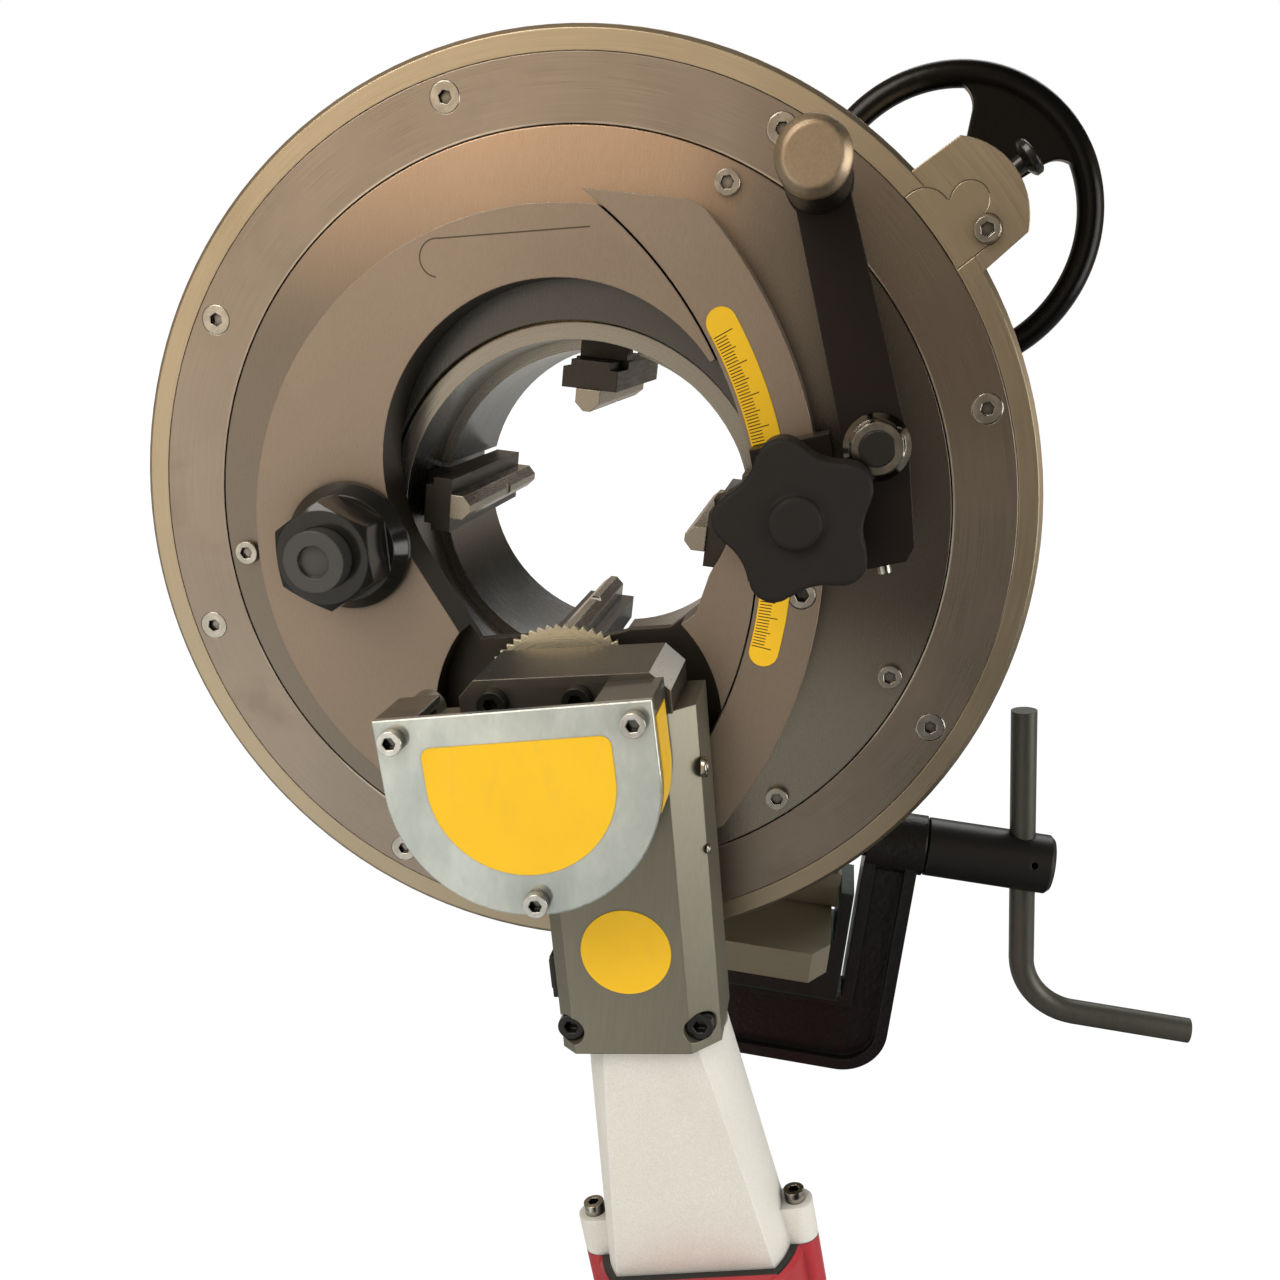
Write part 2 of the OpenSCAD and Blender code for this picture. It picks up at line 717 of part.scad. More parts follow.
// Scale plate: curved plate on the rotor whose inner edge guides the swing plate
module scale_outline() {
  outer = guide_r + scale_w + 1;
  corner_z = scale_top_z - scale_corner_r;
  corner_x = pivot_x + sqrt(pow(outer - scale_corner_r, 2) - pow(corner_z - pivot_z, 2));
  out = [corner_x - pivot_x, corner_z - pivot_z];
  intersection() {
    translate([pivot_x, pivot_z]) difference() {
      circle(outer);
      circle(guide_r + 0.6);
    }
    union() {
      translate([-20, 0]) square([corner_x + 20, scale_top_z]);
      translate([corner_x, corner_z]) circle(scale_corner_r);
      translate([pivot_x, pivot_z]) polygon([[0, 0], out * 1.4, [2 * outer, 0], [2 * outer, -2 * outer], [0, -2 * outer]]);
    }
    translate([0, -2]) circle(plate_r + 6);
  }
}

module scale_plate() {
  color("#85786b") difference() {
    slab(plate_front_y + run_gap, 0) scale_outline();
    for (a = scale_screw_angles) pivot_frame() turned(a) at(guide_r + scale_w - 5, 0) {
      rod(plate_front_y - 1, plate_front_y + 5.4, 4.5);
      rod(plate_front_y, 1, 2.6);
    }
  }
}

module scale_screws() {
  color("#c8c8c4") for (a = scale_screw_angles)
    pivot_frame() turned(a) at(guide_r + scale_w - 5, 0) cap_screw(plate_front_y + 5.4, 4.2, 5, 2.5, plate_t - 5 + 8);
}

// Swing pivot: heavy stud with a flange nut; its root sits further out, clear of the rotor's bush
module pivot_stud() {
  color("#232323") {
    pivot_frame() difference() {
      rod(plate_front_y - 32, 0, 9.6);
      rod(plate_front_y - 33, plate_front_y - 30.5, 5);
    }
    turned(pivot_angle) at(pivot_root_at, 0) rod(-0.1, pivot_root_depth, pivot_root_r);
  }
}

module pivot_nut() {
  nut_back = plate_front_y - run_gap;
  color("#1e1e1e") pivot_frame() difference() {
    union() {
      spun() polygon([
        [0, nut_back], [20.5, nut_back], [20.5, nut_back - 2], [17, nut_back - 6.5], [0, nut_back - 6.5]
      ]);
      intersection() {
        translate([0, nut_back - 24, 0]) rotate([-90, 20, 0]) cylinder(h = 20, r = 17.3, $fn = 6);
        spun() polygon([[0, nut_back - 24], [14.6, nut_back - 24], [17.4, nut_back - 22.2], [17.4, nut_back], [0, nut_back]]);
      }
    }
    rod(nut_back - 30, nut_back + 1, 9.6);
  }
}

module lever_stud() {
  color("#262626") at(lever_x, lever_z) {
    rod(lever_back_y + slide_gap, 0, lever_post_r);
    rod(-eps, rotor_back_y - 3.4, lever_stud_r);
    rod(lever_front_y - 7.4, lever_back_y + 1, lever_stud_r);
  }
}

module lever_nut() {
  nut_back = lever_front_y - slide_gap;
  nut_front = nut_back - 7;
  color("#b9b8b4") at(lever_x, lever_z) difference() {
    union() {
      spun() polygon([[0, nut_back], [9.6, nut_back], [9.6, nut_back - 1.2], [7.9, nut_back - 3], [0, nut_back - 3]]);
      intersection() {
        translate([0, nut_front, 0]) rotate([-90, 15, 0]) cylinder(h = 6.5, r = 8.4, $fn = 6);
        spun() polygon([[0, nut_front], [7.2, nut_front], [8.5, nut_front + 1.1], [8.5, nut_back], [0, nut_back]]);
      }
    }
    rod(nut_back - 12, nut_back + 1, lever_stud_r);
  }
}

// Lever arm: flat black bar, wide at its pivot, bevelled at its foot
module lever_arm() {
  top = [grip_x, grip_z];
  foot = [lever_foot_x, lever_foot_z];
  along = (foot - top) / norm(foot - top);
  across = [-along[1], along[0]];
  top_half = 7.5;
  mid_half = 9;
  foot_half = 7.2;
  mid = [lever_x, lever_z];
  color("#1f1d1b") difference() {
    union() {
      slab(lever_front_y, lever_back_y) {
        polygon([
          top + across * top_half, mid + across * mid_half, foot - along * 4 + across * foot_half,
          foot + across * (foot_half - 3), foot - across * foot_half, mid - across * mid_half, top - across * top_half
        ]);
        translate(top) circle(9.4);
      }
      at(grip_x, grip_z) rod(lever_front_y - 3, lever_front_y + eps, grip_r - 1.2);
    }
    at(lever_x, lever_z) rod(lever_front_y - 1, lever_back_y + 1, lever_stud_r + fit);
    at(grip_x, grip_z) rod(lever_front_y - 4, lever_back_y + 1, 4);
  }
}

module grip_spindle() {
  color("#9a9a98") at(grip_x, grip_z) {
    rod(lever_front_y - 3.4 - grip_len + 7, lever_back_y - 1, 4);
  }
}

module lever_grip() {
  front = lever_front_y - 3.4 - grip_len;
  color("#8a8378") at(grip_x, grip_z) difference() {
    spun() polygon([
      [0, front], [grip_r - 2, front], [grip_r, front + 2], [grip_r, front + grip_len - 1],
      [grip_r - 1, front + grip_len], [0, front + grip_len]
    ]);
    rod(front + 6, front + grip_len + 1, 4 + fit);
  }
}

// Swing plate: C-shaped plate on the pivot with the blade pocket and screw holes for the gear housing
module swing_opening() {
  translate([-3, 19.6]) circle(opening_r);
  polygon([[-48.8, -15], [-28, -42], [36, -29], [45, -20], [53, 17], [0, 60], [-40, 10]]);
  translate([pivot_x, pivot_z]) polygon([
    for (p = [[122, 17], [136, 17], [136, 25], [136, 32.5], [122, 32.5]]) [p[0] * cos(p[1]), p[0] * sin(p[1])]
  ]);
}

module swing_plate() {
  color("#8b7e70") difference() {
    slab(plate_front_y, plate_back_y) difference() {
      intersection() {
        translate([0, -plate_drop]) circle(plate_r);
        translate([pivot_x, pivot_z]) circle(guide_r);
      }
      swing_opening();
      translate([pivot_x, pivot_z]) circle(14);
    }
    at(blade_x, blade_z) rod(plate_front_y - 1, pocket_y, blade_r + 3);
    gear_frame() {
      slab(plate_front_y - 1, pocket_y) intersection() {
        translate([pocket_shift, 0]) circle(pocket_r + pocket_shift);
        polygon([[-60, 3], [60, -23], [60, 60], [-60, 60]]);
      }
      for (a = plate_screw_angles) turned(a) at(plate_screw_r, 0) mirror([0, 1, 0]) flat_screw_hole(-plate_back_y, 3.8, 2.1, plate_t + 1);
    }
  }
}

module pivot_bush() {
  color("#b08d4a") pivot_frame() difference() {
    rod(plate_front_y, plate_back_y, 14);
    rod(plate_front_y - 1, plate_back_y + 1, 9.6 + fit);
  }
}

// Head block: brushed bridge that closes the top of the gear housing
module head_block() {
  color("#9b968c") difference() {
    gear_frame() slab(head_front_y, plate_front_y) polygon([
      [head_left_x, head_split_z], [head_left_x, head_top_z - 5], [head_left_x + 5, head_top_z], [head_right_x - 6, head_top_z],
      [head_right_x, head_top_z - 6], [head_right_x, head_split_z]
    ]);
    gear_frame() {
      rod(worm_y - worm_face / 2 - 1, worm_y + worm_face / 2 + 1, wheel_pocket_r);
      for (p = bridge_screw_places) at(p[0], p[1]) rod(head_front_y - 1, head_front_y + 12, 2.6);
      translate([worm_offset, worm_y, head_split_z - 1]) cylinder(h = head_top_z - head_split_z - 7, r = worm_shaft_r + fit);
    }
    head_frame() for (p = guard_screw_places) at(p[0], p[1]) rod(head_front_y - 1, head_front_y + 10, 2.1);
  }
}

// Gear housing: long machined block with the worm bore, the wheel pocket and chamfered edges
module gear_housing() {
  boss_r = 27;
  lug_t = 10;
  right = gearbox_left_x + gearbox_w;
  color("#57534d") difference() {
    union() {
      gear_frame() {
        translate([0, 0, gearbox_bottom_z]) linear_extrude(height = head_split_z - gearbox_bottom_z) polygon([
          [gearbox_left_x + 5, head_front_y], [right - gearbox_chamfer, head_front_y], [right, head_front_y + gearbox_chamfer],
          [right, plate_front_y], [gearbox_left_x, plate_front_y], [gearbox_left_x, head_front_y + 5]
        ]);
        slab(head_front_y, plate_front_y) intersection() {
          circle(boss_r);
          translate([-boss_r, -boss_r]) square([boss_r + gearbox_left_x + 8, boss_r + head_split_z]);
        }
        slab(plate_front_y - 7, plate_front_y) intersection() {
          circle(pocket_r - 0.5);
          translate([-pocket_r, -pocket_r]) square([pocket_r + gearbox_left_x + 8, pocket_r - 4]);
        }
      }
      difference() {
        head_frame() slab(head_front_y + 0.2, head_front_y + lug_t) {
          translate(guard_screw_places[0]) circle(5.5);
          translate(guard_screw_places[0] - [0, 9]) square([26, 8]);
          translate(guard_screw_places[0] - [5.5, 9]) square([11, 9]);
          translate(guard_screw_places[2]) circle(5.5);
          translate(guard_screw_places[2] - [5.5, 0]) square([11, 22]);
        }
        gear_frame() translate([head_left_x, head_front_y - 1, head_split_z - 0.3])
          cube([head_right_x - head_left_x, lug_t + 2, head_top_z]);
      }
    }
    gear_frame() {
      rod(worm_y - worm_face / 2 - 1, worm_y + worm_face / 2 + 1, wheel_pocket_r);
      rod(head_front_y + 4, plate_front_y + 1, 11);
      translate([worm_offset, worm_y, -head_split_z]) cylinder(h = 2 * head_split_z + 1, r = worm_bore_r);
      translate([worm_offset, worm_y, gearbox_bottom_z - 1])
        cylinder(h = -gearbox_bottom_z - head_split_z + 2, r = worm_shaft_r + fit);
      for (p = gear_screw_places) at(p[0], p[1]) {
        rod(head_front_y - 1, head_front_y + 8, 5);
        rod(head_front_y, head_front_y + 23, 2.6);
      }
      for (a = plate_screw_angles) turned(a) at(plate_screw_r, 0) rod(plate_front_y - 6, plate_front_y + 1, 2.1);
    }
    head_frame() for (p = guard_screw_places) at(p[0], p[1]) rod(head_front_y - 1, head_front_y + lug_t + 1, 2.1);
  }
}

module head_plate_screws() {
  color("#8a8a88") gear_frame() for (a = plate_screw_angles) turned(a) at(plate_screw_r, 0)
    mirror([0, 1, 0]) flat_screw(-plate_back_y, 3.8, 2, plate_t + 6);
}

module gear_housing_screws() {
  color("#1d1d1d") gear_frame() {
    for (p = gear_screw_places) at(p[0], p[1]) cap_screw(head_front_y + 8, 4.4, 5, 2.5, 14);
    for (p = bridge_screw_places) at(p[0], p[1]) cap_screw(head_front_y, 4.4, 5, 2.5, 11);
  }
}

module arbor_bushes() {
  color("#b08d4a") gear_frame() {
    difference() {
      rod(head_front_y + 4, worm_y - worm_face / 2 - 1.2, 11);
      rod(head_front_y + 3, worm_y, arbor_r + fit);
    }
    difference() {
      rod(worm_y + worm_face / 2 + 1.2, plate_front_y, 11);
      rod(worm_y, plate_front_y + 1, arbor_r + fit);
    }
  }
}

// Blade guard: polished D-shaped cover with an open slot along its top
module guard_outline(r, top) {
  intersection() {
    union() {
      circle(r);
      translate([-r, 0]) square([2 * r, top]);
    }
    translate([-2 * r, -2 * r]) square([4 * r, 2 * r + top]);
  }
}

module blade_guard() {
  color("#c3c8c8") head_frame() difference() {
    slab(guard_front_y, head_front_y) guard_outline(guard_r, guard_top_z);
    difference() {
      slab(guard_front_y + guard_wall, head_front_y + 1) guard_outline(guard_r - guard_wall, guard_top_z - guard_wall);
      for (p = guard_screw_places) at(p[0], p[1]) rod(guard_front_y, head_front_y, 4.4);
    }
    translate([-28, guard_front_y + guard_wall, guard_top_z - 10]) cube([52, guard_depth, 20]);
    for (p = guard_screw_places) at(p[0], p[1]) rod(guard_front_y - 1, head_front_y + 1, 2.2);
  }
}

module guard_screws() {
  color("#d0d0cc") head_frame() for (p = guard_screw_places)
    at(p[0], p[1]) cap_screw(guard_front_y, 3.7, 4, 2, guard_depth + 8);
}

// Blade, arbor and worm wheel
module saw_blade() {
  tip = blade_r;
  root = blade_r - 1.7;
  color("#b59a6a") head_frame() slab(blade_y, blade_y + blade_t) difference() {
    polygon([
      for (i = [0 : blade_teeth - 1])
        let (a = i * 360 / blade_teeth, step = 360 / blade_teeth)
        each [[tip * cos(a), tip * sin(a)], [root * cos(a + step * 0.35), root * sin(a + step * 0.35)]]
    ]);
    circle(arbor_r - 1);
  }
}

module blade_arbor() {
  flange_r2 = 12;
  tooth_half = 90 / wheel_teeth * 0.84;
  root_r = wheel_pitch_r - worm_thread_h - 0.4;
  tip_r = wheel_pitch_r + worm_thread_h;
  color("#8f9193") gear_frame() {
    rod(head_front_y + 4.6, blade_y - 2.6, arbor_r);
    rod(blade_y - 2.6 - eps, blade_y, flange_r2);
    rod(blade_y - eps, blade_y + blade_t + 4, arbor_r - 1);
    rod(blade_y + blade_t, blade_y + blade_t + 3.4, 9);
    slab(worm_y - worm_face / 2, worm_y + worm_face / 2) polygon([
      for (i = [0 : wheel_teeth - 1])
        let (mid = (i + 0.5) * 360 / wheel_teeth)
        each [
          for (p = [[root_r, -1.5], [tip_r, -0.55], [tip_r, 0.55], [root_r, 1.5]])
            [p[0] * cos(mid + p[1] * tooth_half), p[0] * sin(mid + p[1] * tooth_half)]
        ]
    ]);
  }
}

// Worm: single-start thread swept as one polyhedron round its shaft
function worm_ring(k, steps) =
  let (
    turn = 180 + 360 * k / steps,
    mid = worm_pitch * k / steps,
    root_r = worm_pitch_r - worm_thread_h - 0.6,
    tip_r = worm_pitch_r + worm_thread_h - 0.1
  )
  [for (p = [[root_r, -1.05], [tip_r, -0.42], [tip_r, 0.42], [root_r, 1.05]]) [p[0] * cos(turn), p[0] * sin(turn), mid + p[1]]];

module worm_thread() {
  steps = 24;
  first = -worm_turns / 2 * steps;
  count = worm_turns * steps + 1;
  points = [for (k = [0 : count - 1]) each worm_ring(first + k, steps)];
  sides = [for (k = [0 : count - 2], j = [0 : 3])
    let (a = 4 * k + j, b = 4 * k + (j + 1) % 4)
    each [[a, b, b + 4], [a, b + 4, a + 4]]];
  last = 4 * (count - 1);
  polyhedron(points, concat(sides, [[2, 1, 0], [3, 2, 0], [last, last + 1, last + 2], [last, last + 2, last + 3]]));
}

module worm_shaft() {
  color("#9fa1a3") worm_frame() {
    translate([0, 0, gearbox_bottom_z - 20]) cylinder(h = head_top_z - gearbox_bottom_z + 11, r = worm_shaft_r);
    worm_thread();
  }
}

// Motor: sand-cast nose, plastic body with a cord inlet, and a slide switch
module motor_nose() {
  color("#c9c6c2") difference() {
    motor_frame() difference() {
      union() {
        translate([0, 0, motor_split_z]) cylinder(h = motor_nose_len + 2.4, r1 = motor_nose_r, r2 = motor_top_r);
        for (side = [-1, 1]) translate([side * ear_x, 0, ear_z]) {
          cylinder(h = 14, r = 6);
          translate([side > 0 ? -14 : 0, -6, 0]) cube([14, 12, 14]);
        }
      }
      translate([0, 0, motor_split_z - 1]) cylinder(h = motor_nose_len - 9, r = 12);
      for (side = [-1, 1]) translate([-2 * motor_nose_r, side * (nose_flat + motor_nose_r) - motor_nose_r, motor_split_z - 1])
        cube([4 * motor_nose_r, 2 * motor_nose_r, motor_nose_len + 10]);
      for (side = [-1, 1]) translate([side * ear_x, 0, ear_z - 1]) cylinder(h = 20, r = 2.2);
    }
    gear_frame() translate([-100, head_front_y - 20, gearbox_bottom_z]) cube([200, 80, 60]);
    worm_frame() translate([0, 0, gearbox_bottom_z - 24]) cylinder(h = 25, r = worm_pitch_r + 1);
  }
}

module motor_screws() {
  color("#a9a9a6") motor_frame() for (side = [-1, 1]) translate([side * ear_x, 0, 0]) rotate([90, 0, 0])
    mirror([0, 1, 0]) cap_screw(-ear_z - 14, 3.6, 4, 2, 24);
}

module motor_body() {
  grip_end_r = motor_r - 7;
  color("#b3242c") motor_frame() difference() {
    union() {
      translate([0, 0, motor_split_z - 52]) cylinder(h = 50, r = motor_r);
      translate([0, 0, motor_split_z - 2]) cylinder(h = 2, r1 = motor_r, r2 = motor_r - 1.5);
      translate([0, 0, motor_split_z - 84]) cylinder(h = 32, r1 = grip_end_r, r2 = motor_r);
      translate([0, 0, motor_end_z + 6]) cylinder(h = motor_body_len - 90, r = grip_end_r);
      translate([0, 0, motor_end_z]) cylinder(h = 6, r1 = grip_end_r - 5, r2 = grip_end_r);
      for (side = [-1, 1]) translate([side * ear_x, 0, motor_split_z - 20]) cylinder(h = 20 + ear_z - motor_split_z, r = 6);
      translate([0, 0, motor_end_z - 8]) cylinder(h = 9, r1 = 6, r2 = 9);
    }
    translate([0, 0, motor_end_z - 9]) cylinder(h = 12, r = 4);
    translate([0, 0, motor_split_z - 20]) cylinder(h = 21, r = 11);
    for (side = [-1, 1]) translate([side * ear_x, 0, ear_z - 14]) cylinder(h = 20, r = 2.1);
    translate([-switch_w / 2 - run_gap, -grip_end_r - 4, switch_z - switch_travel - run_gap])
      cube([switch_w + 2 * run_gap, 10, switch_len + switch_travel + 2 * run_gap]);
  }
}

module motor_switch() {
  front = motor_r - 7;
  color("#1a1a1a") motor_frame() translate([-switch_w / 2, -front - 3, switch_z]) {
    cube([switch_w, 8.6, switch_len]);
    for (i = [0 : 3]) translate([0, -1.2, 5 + i * 5]) cube([switch_w, 1.3, 2]);
  }
}

// Lock block: steel tab on the swing plate's horn that reaches over the scale plate
module lock_block() {
  color("#2f2c29") difference() {
    slab(lock_front_y, plate_front_y) translate([pivot_x, pivot_z]) intersection() {
      difference() {
        circle(guide_r + scale_w + 6);
        circle(guide_r - 11);
      }
      polygon([
        for (p = [[100, 9.5], [guide_r, 9.5], [180, 6], [180, 20.1], [guide_r + 2, 20.4], [guide_r + 2, 15], [100, 15]])
          [p[0] * cos(p[1]), p[0] * sin(p[1])]
      ]);
    }
    knob_frame() rod(lock_front_y - 1, plate_front_y + 1, 4 + fit);
  }
}

// Star knob: five-lobed moulded knob on its clamp screw
function star_point(i, r) = r * [cos(27 + i * 36), sin(27 + i * 36)];

module star_knob() {
  lobe_r = 6.8;
  lobe_at = knob_r - lobe_r;
  valley_at = knob_r + 10.4;
  color("#3a3a3b") knob_frame() {
    slab(knob_back_y - knob_t, knob_back_y) {
      difference() {
        polygon([for (i = [0 : 9]) star_point(i, i % 2 == 0 ? lobe_at : valley_at)]);
        for (i = [1 : 2 : 9]) translate(star_point(i, valley_at)) circle(valley_at - knob_waist_r);
      }
      for (i = [0 : 2 : 8]) translate(star_point(i, lobe_at)) circle(lobe_r);
    }
    rod(knob_back_y - knob_t - 2, knob_back_y - knob_t + eps, 7.2);
    rod(knob_back_y - eps, lock_front_y - run_gap, 9);
    rod(lock_front_y - run_gap - eps, plate_front_y - run_gap, 4);
  }
}

// Foot bracket: upright plate behind the drum, bolted to the rear hub
module foot_bracket() {
  color("#7e7a72") difference() {
    slab(bracket_y, tube_end_y) difference() {
      union() {
        circle(hub_r);
        polygon([
          [foot_left_x, foot_z], [bracket_right_x, foot_z], [bracket_right_x, spindle_z - pad_r - 3],
          [pad_seat_x, spindle_z - pad_r - 3], [pad_seat_x, spindle_z + pad_r + 6],
          [(hub_r - 4) * cos(-10), (hub_r - 4) * sin(-10)], [0, 0], [foot_left_x, -hub_r + 2]
        ]);
      }
      circle(nose_r);
    }
    round_pattern(6, (hub_r + nose_r) / 2, 30) rod(bracket_y - 1, tube_end_y + 1, 3.2);
    for (x = foot_screw_places) translate([x, bracket_mid_y, foot_z - 1]) cylinder(h = 20, r = 3.4);
  }
}

module bracket_screws() {
  color("#2b2b2b") mirror([0, 1, 0])
    round_pattern(6, (hub_r + nose_r) / 2, 30) cap_screw(-tube_end_y, 4.9, 6, 3, bracket_t + 14);
}

// Foot plate: thick plate with bevelled front corners
module foot_plate() {
  bevel_x = 7;
  bevel_y = 11.5;
  color("#8d8880") difference() {
    translate([0, 0, foot_bottom_z]) linear_extrude(height = foot_t) polygon([
      [foot_left_x + bevel_x, foot_front_y], [foot_right_x - bevel_x, foot_front_y], [foot_right_x, foot_front_y + bevel_y],
      [foot_right_x, foot_back_y], [foot_left_x, foot_back_y], [foot_left_x, foot_front_y + bevel_y]
    ]);
    for (x = foot_screw_places) translate([x, bracket_mid_y, foot_bottom_z - 1]) {
      cylinder(h = foot_t + 2, r = 3.4);
      cylinder(h = 7, r = 5.4);
    }
  }
}

module foot_screws() {
  color("#2b2b2b") for (x = foot_screw_places) translate([x, bracket_mid_y, 0]) rotate([90, 0, 0])
    cap_screw(foot_bottom_z + 6, 5, 5.6, 3.3, 22);
}

// Clamp saddle: green painted seat for the foot plate with one upright wall
module clamp_saddle() {
  left = frame_left_x + jaw_limb_w + 0.6;
  right = bracket_right_x + 0.6 + saddle_wall;
  color("#1d4a38") {
    translate([left, frame_front_y - 4, spine_top_z]) cube([right - left, frame_t + 12, foot_bottom_z - spine_top_z]);
    translate([right - saddle_wall, frame_front_y - 4, foot_bottom_z - eps])
      cube([saddle_wall, frame_t + 12, spindle_z - pad_r - 8 - foot_bottom_z]);
  }
}

// Clamp frame: black cast C-frame of I-section with a boss for the spindle
module frame_outline(inset) {
  left = frame_left_x + inset;
  right = frame_right_x - inset;
  bottom = frame_bottom_z + inset;
  corner = frame_corner_r - inset;
  top_left = spindle_z + pad_r + 6 - inset;
  top_right = spindle_z + 4 - inset;
  spine_h = spine_top_z - inset - bottom - corner;
  translate([right - limb_w + 2 * inset, bottom + corner + 1]) square([limb_w - 2 * inset, top_right - bottom - corner - 1]);
  translate([left, bottom + corner + 1]) square([jaw_limb_w - 2 * inset, top_left - bottom - corner - 1]);
  translate([left, bottom + corner]) square([right - left, spine_h]);
  translate([left + corner, bottom]) square([right - left - 2 * corner, corner + spine_h - 1]);
  for (x = [left + corner, right - corner]) translate([x, bottom + corner]) intersection() {
    circle(corner);
    translate([-corner, -corner]) square([2 * corner, corner + min(spine_h, corner) / 2]);
  }
}

module clamp_frame() {
  color("#222223") difference() {
    union() {
      difference() {
        slab(frame_front_y, frame_front_y + frame_t) frame_outline(0);
        slab(frame_front_y - 1, frame_front_y + frame_recess) frame_outline(frame_rim);
        slab(frame_front_y + frame_t - frame_recess, frame_front_y + frame_t + 1) frame_outline(frame_rim);
      }
      translate([frame_right_x - limb_w, bracket_mid_y, spindle_z]) rotate([0, 90, 0]) cylinder(h = boss_x - frame_right_x + limb_w, r = boss_r);
      translate([frame_left_x + jaw_limb_w - eps, frame_front_y, spindle_z - pad_r])
        cube([foot_left_x - frame_left_x - jaw_limb_w + eps, frame_t, 2 * pad_r]);
    }
    translate([frame_right_x - limb_w - 1, bracket_mid_y, spindle_z]) rotate([0, 90, 0]) cylinder(h = limb_w + 4, r = screw_r + fit);
    for (x = bench_bolt_places) translate([x, bracket_mid_y, frame_bottom_z - 1]) cylinder(h = bench_bolt_depth + 1, r = bench_bolt_r);
  }
}

// Clamp screw: spindle, bent crank rod and pressure pad
module clamp_spindle() {
  neck = pad_seat_x + 0.3 + pad_t;
  shoulder = boss_x - neck + 0.2;
  color("#2a2928") difference() {
    translate([neck + 0.3, bracket_mid_y, spindle_z]) rotate([0, 90, 0]) rotate_extrude() polygon([
      [0, -3.3], [4, -3.3], [4, 0], [screw_r - 1, 0], [screw_r, 1], [screw_r, shoulder], [spindle_r - 0.6, shoulder],
      [spindle_r, shoulder + 0.6], [spindle_r, spindle_end_x - neck - 2],
      [spindle_r - 1.5, spindle_end_x - neck - 0.3], [0, spindle_end_x - neck - 0.3]
    ]);
    crank_frame() translate([0, 0, -30]) cylinder(h = 60, r = crank_r);
    translate([crank_x + 3, bracket_mid_y - 20, spindle_z + 3]) rotate([-90, 0, 0]) cylinder(h = 16, r = 1.4);
  }
}

module crank_frame() {
  translate([crank_x, bracket_mid_y, spindle_z]) turned(crank_lean) children();
}

module clamp_crank() {
  lap = 0.5;
  color("#77756c") crank_frame() {
    translate([0, 0, -crank_drop - lap]) cylinder(h = crank_drop + crank_top + lap, r = crank_r);
    translate([crank_bend_r, 0, -crank_drop]) rotate([90, 0, 0]) rotate([0, 0, 180]) rotate_extrude(angle = 90 - crank_lean)
      translate([crank_bend_r, 0]) circle(crank_r - 0.05, $fn = 32);
    translate([crank_bend_r, 0, -crank_drop]) turned(-crank_lean) translate([-lap, 0, -crank_bend_r]) rotate([0, 90, 0])
      cylinder(h = crank_reach, r = crank_r);
  }
}

module pressure_pad() {
  color("#3a3a3a") translate([pad_seat_x + 0.3, bracket_mid_y, spindle_z]) rotate([0, 90, 0]) difference() {
    cylinder(h = pad_t, r = pad_r);
    translate([0, 0, pad_t - 3.2]) cylinder(h = 4, r = 4 + fit);
  }
}

drum_housing();
retaining_ring();
retaining_screws();
rear_cover();
rear_cover_screws();
pinion_cover();
pinion_cover_screw();
pinion_bushes();
foot_bracket();
bracket_screws();
foot_plate();
foot_screws();
clamp_saddle();
clamp_frame();
cam_ring();
handwheel();
pinion_shaft();
handwheel_nut();
jaw_slide_right();
jaw_slide_top();
jaw_slide_left();
jaw_slide_bottom();
jaw_bar_right();
jaw_bar_top();
jaw_bar_left();
jaw_bar_bottom();
brake_plunger();
clamp_spindle();
clamp_crank();
pressure_pad();
rotor_disc();
rotor_bush();
rotor_screws();
scale_plate();
scale_screws();
pivot_stud();
pivot_nut();
lever_stud();
lever_nut();
lever_arm();
grip_spindle();
lever_grip();
swing_plate();
pivot_bush();
head_block();
gear_housing();
gear_housing_screws();
head_plate_screws();
arbor_bushes();
blade_guard();
guard_screws();
motor_nose();
motor_screws();
motor_body();
lock_block();
star_knob();
saw_blade();
blade_arbor();
worm_shaft();
motor_switch();
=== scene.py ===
# Orbital pipe cutter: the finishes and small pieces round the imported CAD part.
# Lengths are metres in the CAD frame: the pipe axis is Y, the front faces -Y, +Z is up.
import math

import bpy
from mathutils import Matrix, Vector


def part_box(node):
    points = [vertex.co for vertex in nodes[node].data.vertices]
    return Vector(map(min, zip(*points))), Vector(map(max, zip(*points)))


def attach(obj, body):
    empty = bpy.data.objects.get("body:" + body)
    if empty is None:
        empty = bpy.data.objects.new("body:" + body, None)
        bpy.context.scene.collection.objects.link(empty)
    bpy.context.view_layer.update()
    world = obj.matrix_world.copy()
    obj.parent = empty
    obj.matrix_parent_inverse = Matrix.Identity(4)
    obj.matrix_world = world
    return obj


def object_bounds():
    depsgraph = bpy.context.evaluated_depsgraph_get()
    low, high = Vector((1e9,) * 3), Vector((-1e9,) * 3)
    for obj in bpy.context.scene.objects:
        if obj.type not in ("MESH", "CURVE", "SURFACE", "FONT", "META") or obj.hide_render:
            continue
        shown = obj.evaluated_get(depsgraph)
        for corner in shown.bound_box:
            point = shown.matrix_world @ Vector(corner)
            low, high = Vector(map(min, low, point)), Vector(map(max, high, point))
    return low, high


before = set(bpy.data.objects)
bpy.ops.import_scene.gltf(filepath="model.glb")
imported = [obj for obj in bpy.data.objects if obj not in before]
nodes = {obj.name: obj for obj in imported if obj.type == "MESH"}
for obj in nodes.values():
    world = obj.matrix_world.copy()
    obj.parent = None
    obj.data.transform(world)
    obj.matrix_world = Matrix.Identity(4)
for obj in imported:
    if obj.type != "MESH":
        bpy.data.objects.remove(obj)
cad_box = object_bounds()


